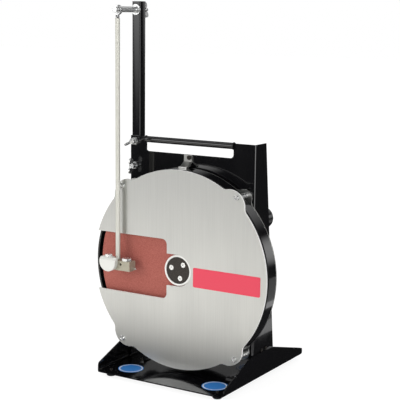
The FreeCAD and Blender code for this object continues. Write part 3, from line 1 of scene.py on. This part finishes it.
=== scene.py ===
import json
import math

import bmesh
import bpy
from mathutils import Matrix, Vector

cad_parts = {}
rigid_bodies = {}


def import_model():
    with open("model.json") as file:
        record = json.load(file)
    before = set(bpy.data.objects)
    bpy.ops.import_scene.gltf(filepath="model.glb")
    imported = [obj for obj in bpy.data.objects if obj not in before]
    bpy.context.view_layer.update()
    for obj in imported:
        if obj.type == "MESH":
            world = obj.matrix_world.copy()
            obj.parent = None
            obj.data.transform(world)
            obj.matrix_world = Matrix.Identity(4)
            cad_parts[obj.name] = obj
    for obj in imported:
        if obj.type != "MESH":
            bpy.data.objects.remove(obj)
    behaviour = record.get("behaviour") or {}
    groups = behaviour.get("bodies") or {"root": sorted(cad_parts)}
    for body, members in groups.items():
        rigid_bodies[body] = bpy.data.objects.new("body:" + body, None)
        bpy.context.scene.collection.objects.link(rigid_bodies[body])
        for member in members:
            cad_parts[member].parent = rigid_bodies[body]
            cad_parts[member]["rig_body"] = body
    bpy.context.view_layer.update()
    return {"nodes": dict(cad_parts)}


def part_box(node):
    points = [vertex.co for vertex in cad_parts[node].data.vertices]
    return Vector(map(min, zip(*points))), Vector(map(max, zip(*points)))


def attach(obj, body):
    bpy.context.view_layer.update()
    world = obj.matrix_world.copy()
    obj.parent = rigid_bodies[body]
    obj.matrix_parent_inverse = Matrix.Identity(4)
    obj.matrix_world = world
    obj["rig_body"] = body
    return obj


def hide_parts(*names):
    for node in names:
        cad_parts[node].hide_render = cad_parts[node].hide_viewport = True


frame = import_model()
nodes = frame["nodes"]
MM = 0.001

# Base plate.
# One 2 mm steel sheet, cut by laser, its two sides folded up, then powder coated in gloss black.
# It stands on four rubber feet and mirrors the cover above it.


def srgb(code):
    """Linear colour, with alpha, of an sRGB hex code."""
    channels = [int(code[place:place + 2], 16) / 255 for place in (1, 3, 5)]
    return [c / 12.92 if c <= 0.04045 else ((c + 0.055) / 1.055) ** 2.4 for c in channels] + [1.0]


def add_node(tree, kind, inputs=(), **settings):
    """Adds one node; inputs gives each socket a value, or the (node, output) it is linked to."""
    item = tree.nodes.new(kind)
    for name, setting in settings.items():
        setattr(item, name, setting)
    for name, given in dict(inputs).items():
        if isinstance(given, tuple) and isinstance(given[0], bpy.types.Node):
            tree.links.new(given[0].outputs[given[1]], item.inputs[name])
        else:
            item.inputs[name].default_value = given
    return item


def new_finish(name, colour, **surface):
    """A material with one Principled shader: sockets are given with _ for each space.
    Where noise is linked in later, these values are what a plain viewer shows."""
    material = bpy.data.materials.new(name)
    material.use_nodes = True
    tree = material.node_tree
    shader = tree.nodes["Principled BSDF"]
    shader.inputs["Base Color"].default_value = srgb(colour)
    for socket, setting in surface.items():
        shader.inputs[socket.replace("_", " ")].default_value = setting
    return material, tree, shader


def grain(tree, size_mm, stretch=(1, 1, 1), detail=2.0):
    """Noise in the object's own space whose lumps are size_mm across, longer along stretch."""
    place = add_node(tree, "ShaderNodeTexCoord")
    scaled = add_node(tree, "ShaderNodeMapping", {
        "Vector": (place, "Object"),
        "Scale": [1 / (size_mm * MM * part) for part in stretch]})
    return add_node(tree, "ShaderNodeTexNoise", {
        "Vector": (scaled, "Vector"), "Scale": 1.0, "Detail": detail, "Roughness": 0.55})


def graded(tree, source, low, high, start=0.3, stop=0.7):
    """Maps noise from start..stop to low..high."""
    return add_node(tree, "ShaderNodeMapRange", {
        "Value": (source, 0), "From Min": start, "From Max": stop, "To Min": low, "To Max": high})


def raised(tree, shader, source, height_mm, strength=1.0):
    """Bumps the shader's surface by the source, height_mm from low to high."""
    bump = add_node(tree, "ShaderNodeBump", {
        "Height": (source, 0), "Distance": height_mm * MM, "Strength": strength})
    tree.links.new(bump.outputs["Normal"], shader.inputs["Normal"])


def roughened(tree, shader, source, low, high):
    """Sets the surface's roughness from low to high by the source."""
    rough = graded(tree, source, low, high)
    tree.links.new(rough.outputs[0], shader.inputs["Roughness"])


def coloured(tree, shader, source, low, high, start=0.3, stop=0.7):
    """Colours the surface from hex low to hex high as the source goes from start to stop."""
    share = graded(tree, source, 0.0, 1.0, start, stop)
    mixed = add_node(tree, "ShaderNodeMix", {
        0: (share, 0), 6: srgb(low), 7: srgb(high)}, data_type="RGBA")
    tree.links.new(mixed.outputs[2], shader.inputs["Base Color"])


def gloss_powder_coat(clear=1.0):
    """Gloss black powder coat under a clear one: deep black, with a faint orange peel.
    Clear is the share of the clear coat that is left."""
    material, tree, shader = new_finish(
        "gloss black powder coat on steel", "#0e0e10", Roughness=0.12, IOR=1.3,
        Coat_Weight=clear, Coat_Roughness=0.04, Coat_IOR=1.42)
    peel = grain(tree, 3.0, detail=1.0)
    raised(tree, shader, peel, 0.01, 0.4)
    dust = grain(tree, 40.0)
    roughened(tree, shader, dust, 0.1, 0.17)
    return material


def dressed(obj, material):
    """Gives every face of the object this one material."""
    if not obj.data.materials:
        obj.data.materials.append(material)
    for place in range(len(obj.data.materials)):
        obj.data.materials[place] = material


def eased(node, name, edge_mm, material, edge_material=None):
    """A copy of a CAD node with its doubles merged and its sharp edges broken by edge_mm.
    The broken edges may have a material of their own."""
    double_mm = 0.002
    flat_degrees = 0.5
    crease_degrees = 28
    sharp_degrees = 40
    source = nodes[node]
    mesh = source.data.copy()
    mesh.name = name
    shape = bmesh.new()
    shape.from_mesh(mesh)
    bmesh.ops.remove_doubles(shape, verts=shape.verts, dist=double_mm * MM)
    bmesh.ops.dissolve_limit(shape, angle_limit=math.radians(flat_degrees), verts=shape.verts,
                             edges=shape.edges)
    shape.to_mesh(mesh)
    shape.free()
    piece = bpy.data.objects.new(name, mesh)
    bpy.context.scene.collection.objects.link(piece)
    mesh.shade_smooth()
    mesh.set_sharp_from_angle(angle=math.radians(crease_degrees))
    rounding = piece.modifiers.new("broken edges", "BEVEL")
    rounding.width = edge_mm * MM
    rounding.segments = 2
    rounding.limit_method = "ANGLE"
    rounding.angle_limit = math.radians(sharp_degrees)
    rounding.use_clamp_overlap = True
    rounding.harden_normals = True
    dressed(piece, material)
    if edge_material:
        mesh.materials.append(edge_material)
        rounding.material = 1
    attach(piece, source["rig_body"])
    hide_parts(node)
    return piece


powder_black = gloss_powder_coat()
eased("base_plate", "base_plate_coated", 0.7, gloss_powder_coat(0.6))


def foot_rubber():
    """Moulded black rubber: matt, dark grey, faintly grainy."""
    material, tree, shader = new_finish("moulded rubber", "#1a1a1b", Roughness=0.7)
    raised(tree, shader, grain(tree, 0.6), 0.05, 0.6)
    return material


dressed(nodes["rubber_feet"], foot_rubber())


def black_oxide():
    """Black oxide on turned steel: a dark, slightly warm grey with a dull shine."""
    material, tree, shader = new_finish(
        "black oxide on steel", "#332f2c", Metallic=0.6, Roughness=0.42)
    coloured(tree, shader, grain(tree, 1.6), "#2e2b28", "#413c38")
    return material


def zinc_plate():
    """Clear passivated zinc plate on steel: pale, a little cloudy, more satin than mirror."""
    material, tree, shader = new_finish(
        "clear passivated zinc plate on steel", "#e2e3e3", Metallic=0.9, Roughness=0.26)
    cloud = grain(tree, 2.5)
    coloured(tree, shader, cloud, "#d6d8d9", "#f2f2f1")
    roughened(tree, shader, cloud, 0.2, 0.32)
    return material


dark_oxide = black_oxide()
zinc = zinc_plate()
eased("base_screws", "base_screws_oxide", 0.25, dark_oxide)
eased("stand_screws", "stand_screws_oxide", 0.25, dark_oxide)

# Stand.
# A 2 mm steel sheet folded into a panel with two flanges, coated like the base.
# The hand rail is a coated bar welded across the notch; the floor angles are inside the flanges.
eased("stand_panel", "stand_panel_coated", 0.4, powder_black)
for node in ("floor_angles", "mast_guide", "hand_rail"):
    eased(node, f"{node}_coated", 0.3, powder_black)


def weld_bead(shape, end, inward, radius, bead):
    """Adds one weld round the rail where it meets the notch: a ring with an uneven crown."""
    steps = 48
    sides = 8
    ripples = 9
    ripple_share = 0.12
    flattening = 0.8
    turned_rings = []
    for step in range(steps):
        angle = math.tau * step / steps
        crown = bead * (1 + ripple_share * math.sin(ripples * angle))
        outward = Vector((0, math.cos(angle), math.sin(angle)))
        ring = []
        for turn in range(sides):
            around = math.tau * turn / sides
            spot = end + outward * (radius + crown * math.cos(around) * flattening)
            spot.x += inward * crown * math.sin(around) * flattening
            ring.append(shape.verts.new(spot))
        turned_rings.append(ring)
    for step, ring in enumerate(turned_rings):
        following = turned_rings[(step + 1) % steps]
        for turn in range(sides):
            after = (turn + 1) % sides
            shape.faces.new((ring[turn], following[turn], following[after], ring[after]))


rail_radius = 5.2 * MM
bead_radius = 1.1 * MM
rail_low, rail_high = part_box("hand_rail")
rail_middle = (Vector(rail_low) + Vector(rail_high)) / 2
weld_mesh = bpy.data.meshes.new("rail_welds")
weld_shape = bmesh.new()
for x, inward in ((rail_low[0], 1), (rail_high[0], -1)):
    rail_end = Vector((x, rail_middle.y, rail_middle.z))
    weld_bead(weld_shape, rail_end, inward, rail_radius, bead_radius)
bmesh.ops.recalc_face_normals(weld_shape, faces=weld_shape.faces)
weld_shape.to_mesh(weld_mesh)
weld_shape.free()
rail_welds = bpy.data.objects.new("rail_welds", weld_mesh)
bpy.context.scene.collection.objects.link(rail_welds)
weld_mesh.shade_smooth()
dressed(rail_welds, powder_black)
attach(rail_welds, "frame")

# Motor.
# A small fan-cooled motor: turned and painted shields, a ribbed alloy tube, a black sheet cowl.


def painted_casting():
    """Light grey paint on cast and extruded alloy: satin, with a fine skin."""
    material, tree, shader = new_finish(
        "satin grey paint on cast alloy", "#7d8083", Roughness=0.42, IOR=1.5)
    raised(tree, shader, grain(tree, 1.2), 0.04, 0.5)
    coloured(tree, shader, grain(tree, 30), "#777a7d", "#85888b")
    return material


def satin_black_steel():
    """Satin black paint on pressed steel sheet."""
    material, tree, shader = new_finish(
        "satin black paint on pressed steel", "#151516", Roughness=0.38, IOR=1.5)
    raised(tree, shader, grain(tree, 1.5), 0.03, 0.5)
    return material


casting = painted_casting()
for node in ("motor_front_shield", "motor_rear_shield", "motor_housing"):
    eased(node, f"{node}_painted", 0.4, casting)
eased("fan_cowl", "fan_cowl_painted", 0.4, satin_black_steel())


def moulded_black(name, roughness, texture):
    """Moulded black ABS: satin with a fine spark-eroded texture, or polished and nearly smooth."""
    material, tree, shader = new_finish(name, "#1b1b1d", Roughness=roughness, IOR=1.5)
    raised(tree, shader, grain(tree, 0.7), texture, 0.5)
    return material


black_abs = moulded_black("textured black ABS", 0.45, 0.03)
for node in ("cooling_fan", "switch_box", "switch_lid", "cable_gland", "switch_rocker"):
    eased(node, f"{node}_moulded", 0.5, black_abs)
eased("capacitor", "capacitor_moulded", 1.0, moulded_black("polished black ABS", 0.16, 0.004))
for node in ("motor_tie_rods", "motor_screws", "capacitor_clip"):
    eased(node, f"{node}_plated", 0.25, zinc)


def laminated_steel():
    """Stacked electrical sheet, 0.5 mm a leaf: dark, with fine rings along the shaft."""
    material, tree, shader = new_finish(
        "stacked electrical sheet", "#4a4846", Metallic=1.0, Roughness=0.45)
    raised(tree, shader, grain(tree, 0.5, (60, 1, 60)), 0.05, 0.6)
    return material


def wound_copper():
    """Varnished copper wire, 0.6 mm thick."""
    material, tree, shader = new_finish(
        "varnished copper wire", "#9a4c20", Metallic=1.0, Roughness=0.3)
    raised(tree, shader, grain(tree, 0.6, (1, 1, 12)), 0.2, 0.8)
    return material


def ground_steel():
    """Ground and polished bearing steel."""
    material, tree, shader = new_finish(
        "ground bearing steel", "#b9bab9", Metallic=1.0, Roughness=0.18)
    raised(tree, shader, grain(tree, 0.4, (30, 1, 30)), 0.004, 0.5)
    return material


laminated = laminated_steel()
ground = ground_steel()
dressed(nodes["stator_core"], laminated)
dressed(nodes["rotor_core"], laminated)
dressed(nodes["stator_windings"], wound_copper())
for node in ("motor_shaft", "bearing_outer_rings", "bearing_inner_rings", "bearing_balls"):
    dressed(nodes[node], ground)

# Disc.
# An alloy platter, turned flat, with a sheet of coarse red-brown abrasive glued to its face.
# A clamp ring and a dark cap hold it on the hub with three countersunk screws.
HUB = Vector((0.0, -77.0, 177.0)) * MM


def turned_alloy():
    """Lathe-turned aluminium: faint rings round the shaft's axis, drawn wide enough to show."""
    wave_scale = 62.5  # 20 radians of wave for each unit of scale: a ring every 5 mm
    material, tree, shader = new_finish(
        "turned aluminium", "#e6e6e3", Metallic=0.3, Roughness=0.36)
    place = add_node(tree, "ShaderNodeTexCoord")
    centred = add_node(tree, "ShaderNodeMapping", {
        "Vector": (place, "Object"), "Location": -HUB})
    rings = add_node(tree, "ShaderNodeTexWave", {
        "Vector": (centred, "Vector"), "Scale": wave_scale, "Distortion": 0.4,
        "Detail": 1.0}, wave_type="RINGS", rings_direction="Y")
    raised(tree, shader, rings, 0.01, 0.35)
    return material


def coarse_abrasive():
    """Aluminium oxide grit, about 0.5 mm, bonded to a backing: rough red-brown with dust."""
    material, tree, shader = new_finish("bonded aluminium oxide grit", "#a05a50", Roughness=0.92)
    grit = grain(tree, 1.1, detail=4.0)
    coloured(tree, shader, grit, "#8f483f", "#b66a5e")
    raised(tree, shader, grit, 0.25, 0.7)
    return material


alloy = turned_alloy()
dressed(nodes["abrasive_disc"], coarse_abrasive())
for node, edge_mm in (("platter", 0.4), ("drive_hub", 0.4), ("clamp_ring", 0.5)):
    eased(node, f"{node}_turned", edge_mm, alloy)
eased("hub_cap", "hub_cap_oxide", 0.4, dark_oxide)
eased("hub_screws", "hub_screws_plated", 0.3, zinc)

# Guard.
# The guard ring is a rolled steel band with a lip, coated black. A bright sheet with four ears
# lies behind it, held by rivets, spacers and standoffs, and a bent bracket ties it to the stand.
eased("guard_ring", "guard_ring_coated", 0.5, powder_black)


def bright_sheet():
    """Bright rolled steel sheet, left bare."""
    material, tree, shader = new_finish(
        "bright rolled steel sheet", "#bdbdba", Metallic=1.0, Roughness=0.33)
    raised(tree, shader, grain(tree, 1.0, (1, 1, 40)), 0.01, 0.4)
    return material


bright = bright_sheet()
for node in ("rear_plate", "guard_bracket"):
    eased(node, f"{node}_bright", 0.35, bright)
for node in ("guard_rivets", "cover_spacers", "rear_standoffs"):
    eased(node, f"{node}_plated", 0.3, zinc)

# Cover.
# A 3 mm stainless sheet, cut by laser and brushed up and down. Its broken edge and its side walls
# are coloured near-white and barely metallic, a painted highlight along the rim. A red film is
# stuck on its right half.


def brushed_stainless():
    """Stainless steel brushed up and down: fine scratches, drawn 0.9 mm apart so they show."""
    material, tree, shader = new_finish(
        "brushed stainless steel", "#d0d1cf", Metallic=1.0, Roughness=0.4)
    fine = grain(tree, 0.9, (1, 1, 90), detail=3.0)
    cloudy = grain(tree, 60.0, (1, 1, 2), detail=3.0)
    coloured(tree, shader, fine, "#cdcecc", "#d3d4d2")
    roughened(tree, shader, cloudy, 0.37, 0.44)
    raised(tree, shader, fine, 0.002, 0.2)
    return material


def painted_highlight_edge():
    """The cut edge of the sheet, coloured near-white and barely metallic as a painted highlight:
    paler than the brushed face.
    """
    material, tree, shader = new_finish(
        "stainless edge with painted highlight", "#fcfcfa", Metallic=0.1, Roughness=0.35)
    raised(tree, shader, grain(tree, 0.5, (1, 8, 1)), 0.01, 0.4)
    return material


# The bevel of the cover takes the pale edge colour, a painted highlight along the rim.
cover = eased("front_cover", "front_cover_brushed", 0.75, brushed_stainless(), painted_highlight_edge())
# The side walls take the same pale colour: painted highlight, not the steel's own tone.
side_wall_tilt = 0.5
for face in cover.data.polygons:
    if abs(face.normal.y) < side_wall_tilt:
        face.material_index = 1
eased("cover_screws", "cover_screws_plated", 0.3, zinc)


def printed_film(name, colour):
    """Printed vinyl film: even colour with a soft gloss."""
    material, tree, shader = new_finish(name, colour, Roughness=0.3, IOR=1.5)
    raised(tree, shader, grain(tree, 12.0), 0.02, 0.4)
    return material, tree, shader


dressed(nodes["cover_label"], printed_film("red printed vinyl film", "#dc3851")[0])

# Stickers.
# Two round films on the floor of the base, plain blue with a white ring near the edge. They lie
# as far left as right of a line that is a little beside the middle.
stickers_middle = 2.3 * MM
sticker_aside = 78.7 * MM
sticker_forward = 92.5 * MM
ring_inner = 17.4 * MM
ring_outer = 19.0 * MM
sticker_blue = "#3c86d4"
sticker_film, tree, shader = printed_film("blue and white printed vinyl film", sticker_blue)
place = add_node(tree, "ShaderNodeTexCoord")
apart = add_node(tree, "ShaderNodeSeparateXYZ", {0: (place, "Object")})
aside = add_node(tree, "ShaderNodeMath", {0: (apart, "X"), 1: stickers_middle},
                 operation="SUBTRACT")
across = add_node(tree, "ShaderNodeMath", {0: (aside, 0)}, operation="ABSOLUTE")
from_x = add_node(tree, "ShaderNodeMath", {0: (across, 0), 1: sticker_aside},
                  operation="SUBTRACT")
from_y = add_node(tree, "ShaderNodeMath", {0: (apart, "Y"), 1: sticker_forward}, operation="ADD")
flat = add_node(tree, "ShaderNodeCombineXYZ", {"X": (from_x, 0), "Y": (from_y, 0)})
reach = add_node(tree, "ShaderNodeVectorMath", {0: (flat, 0)}, operation="LENGTH")
inside = add_node(tree, "ShaderNodeMath", {0: (reach, "Value"), 1: ring_inner},
                  operation="GREATER_THAN")
outside = add_node(tree, "ShaderNodeMath", {0: (reach, "Value"), 1: ring_outer},
                   operation="LESS_THAN")
ring = add_node(tree, "ShaderNodeMath", {0: (inside, 0), 1: (outside, 0)}, operation="MULTIPLY")
coloured(tree, shader, ring, sticker_blue, "#ffffff", 0.0, 1.0)
dressed(nodes["floor_stickers"], sticker_film)

# Mast.
# A square steel tube, coated black, which slides in its guide behind the panel. Two zinc-plated
# wing screws clamp it, and a plated bolt with a sleeve and a wing nut carries the arm at its top.
eased("mast", "mast_coated", 0.3, powder_black)
for node in ("clamp_nuts", "upper_wing_screw", "lower_wing_screw", "pivot_wing_nut",
             "pivot_bolt", "pivot_sleeve", "pivot_washers"):
    eased(node, f"{node}_plated", 0.35, zinc)

# Arm and holder.
# The rod is drawn bar with a dull plate, screwed to the stud of an eye that hangs on a ball. The
# holder is a milled block with a white moulded finger pad on its left.


def drawn_bar():
    """Drawn bar with a dull nickel plate: pale, a little warm, fine lines along it."""
    material, tree, shader = new_finish(
        "dull nickel plate on drawn bar", "#cfcec5", Metallic=0.25, Roughness=0.5)
    raised(tree, shader, grain(tree, 0.5, (1, 1, 60)), 0.01, 0.4)
    return material


eased("arm_rod", "arm_rod_plated", 0.4, drawn_bar())
eased("arm_eye", "arm_eye_plated", 0.3, zinc)
dressed(nodes["pivot_ball"], ground)


def milled_alloy():
    """Milled aluminium with fine tool marks."""
    material, tree, shader = new_finish(
        "milled aluminium", "#a5a08e", Metallic=0.25, Roughness=0.45)
    raised(tree, shader, grain(tree, 0.7, (12, 1, 1)), 0.01, 0.5)
    return material


def white_nylon():
    """Moulded white nylon: satin, with a faint skin from the mould."""
    material, tree, shader = new_finish("moulded white nylon", "#dadad4", Roughness=0.4, IOR=1.53)
    raised(tree, shader, grain(tree, 0.9), 0.02, 0.4)
    return material


eased("holder_block", "holder_block_milled", 0.5, milled_alloy())
eased("finger_pad", "finger_pad_moulded", 0.6, white_nylon())
eased("holder_screws", "holder_screws_plated", 0.35, zinc)
for node in ("holder_magnets", "comb_pins"):
    dressed(nodes[node], ground)

# Floor, light and camera.
# A plain white floor under soft boxes. Gloss mirrors a dim room with five soft lamps, each given
# as its direction, the cosine of its edge and its strength. The camera stands at the photo's angle.
MIRRORED_LAMPS = (
    ((-0.54, -0.82, 0.19), 0.955, 3.6),  # seen in the front faces
    ((0.82, -0.56, 0.12), 0.87, 5.5),    # in the corners and rounds nearest the camera
    ((-0.9, 0.3, 0.45), 0.86, 1.0),      # in rounds that face up and left
    ((0.44, 0.885, 0.08), 0.984, 1.5),   # in the right-hand faces
    ((0.1, 0.87, 0.46), 0.93, 0.6),      # in rounds that face up and right
)
SOFT_AIR = 0.72


def studio():
    """A white table in a dim room: white to the eye, dark near the horizon in mirrors."""
    floor_mesh = bpy.data.meshes.new("studio_floor")
    shape = bmesh.new()
    bmesh.ops.create_grid(shape, x_segments=1, y_segments=1, size=12.0)
    shape.to_mesh(floor_mesh)
    shape.free()
    floor = bpy.data.objects.new("studio_floor", floor_mesh)
    bpy.context.scene.collection.objects.link(floor)
    paper, tree, shader = new_finish(
        "matt white paper", "#7c7c7b", Roughness=0.9, Emission_Color=(1, 1, 1, 1),
        Emission_Strength=0.9)
    dressed(floor, paper)
    floor.visible_glossy = False
    world = bpy.data.worlds.new("studio_air")
    world.use_nodes = True
    bpy.context.scene.world = world
    tree = world.node_tree
    toward = add_node(tree, "ShaderNodeTexCoord")
    height = add_node(tree, "ShaderNodeSeparateXYZ", {0: (toward, "Generated")})
    glow = add_node(tree, "ShaderNodeMapRange", {
        "Value": (height, "Z"), "From Min": 0.35, "From Max": 0.75, "To Min": 0.02,
        "To Max": 0.25}, interpolation_type="SMOOTHSTEP")
    for spot, edge, power in MIRRORED_LAMPS:
        beam = add_node(tree, "ShaderNodeVectorMath", {
            0: (toward, "Generated"), 1: Vector(spot).normalized()}, operation="DOT_PRODUCT")
        lamp = add_node(tree, "ShaderNodeMapRange", {
            "Value": (beam, "Value"), "From Min": edge, "From Max": 1.0, "To Min": 0.0,
            "To Max": power}, interpolation_type="SMOOTHSTEP")
        glow = add_node(tree, "ShaderNodeMath", {0: (glow, 0), 1: (lamp, 0)}, operation="ADD")
    path = add_node(tree, "ShaderNodeLightPath")
    mirrored = add_node(tree, "ShaderNodeMix", {
        0: (path, "Is Glossy Ray"), 2: SOFT_AIR, 3: (glow, 0)}, data_type="FLOAT")
    shown = add_node(tree, "ShaderNodeMix", {
        0: (path, "Is Camera Ray"), 2: (mirrored, 0), 3: 1.0}, data_type="FLOAT")
    air = tree.nodes["Background"]
    air.inputs["Color"].default_value = (1, 1, 1, 1)
    tree.links.new(shown.outputs[0], air.inputs["Strength"])


def soft_box(name, spot, aim, width, height, power):
    """One large area light at spot that faces aim, in metres."""
    lamp = bpy.data.lights.new(name, "AREA")
    lamp.shape = "RECTANGLE"
    lamp.size = width
    lamp.size_y = height
    lamp.energy = power
    holder = bpy.data.objects.new(name, lamp)
    bpy.context.scene.collection.objects.link(holder)
    turn = (Vector(aim) - Vector(spot)).to_track_quat("-Z", "Y")
    holder.matrix_world = Matrix.Translation(spot) @ turn.to_matrix().to_4x4()
    holder.visible_camera = False
    return holder


studio()
soft_box("overhead_box", (-0.6, -0.6, 2.4), (0, 0, 0.2), 1.6, 1.6, 5)
front_box = soft_box("front_box", (-0.9, -1.9, 0.8), (0, 0, 0.2), 1.2, 1.2, 14)
front_box.visible_glossy = False
for name, x, y, width, depth, power, colour in (
        ("table_left", -0.5, -0.71, 1.2, 0.9, 4.7, (1.0, 0.975, 0.92)),
        ("table_near", 0.255, 0.5, 0.04, 1.4, 0.17, (1.0, 1.0, 1.0)),
        ("table_far", 0.44, 0.5, 0.33, 1.4, 0.45, (1.0, 1.0, 1.0))):
    card = soft_box(name, (x, y, 0.002), (x, y, 1.0), width, depth, power)
    card.data.color = colour
    card.visible_diffuse = False

camera_spot = (0.9234, -1.5107, 0.5747)
azimuth, elevation, roll = 31.605, 9.494, 0.599
lens = bpy.data.cameras.new("photo_camera")
lens.sensor_width = 36.0
lens.lens = 100.67
camera = bpy.data.objects.new("photo_camera", lens)
bpy.context.scene.collection.objects.link(camera)
camera.matrix_world = (
    Matrix.Translation(camera_spot)
    @ Matrix.Rotation(math.radians(azimuth), 4, "Z")
    @ Matrix.Rotation(math.radians(90 - elevation), 4, "X")
    @ Matrix.Rotation(math.radians(roll), 4, "Z"))
bpy.context.scene.camera = camera
bpy.context.scene.view_settings.view_transform = "Standard"
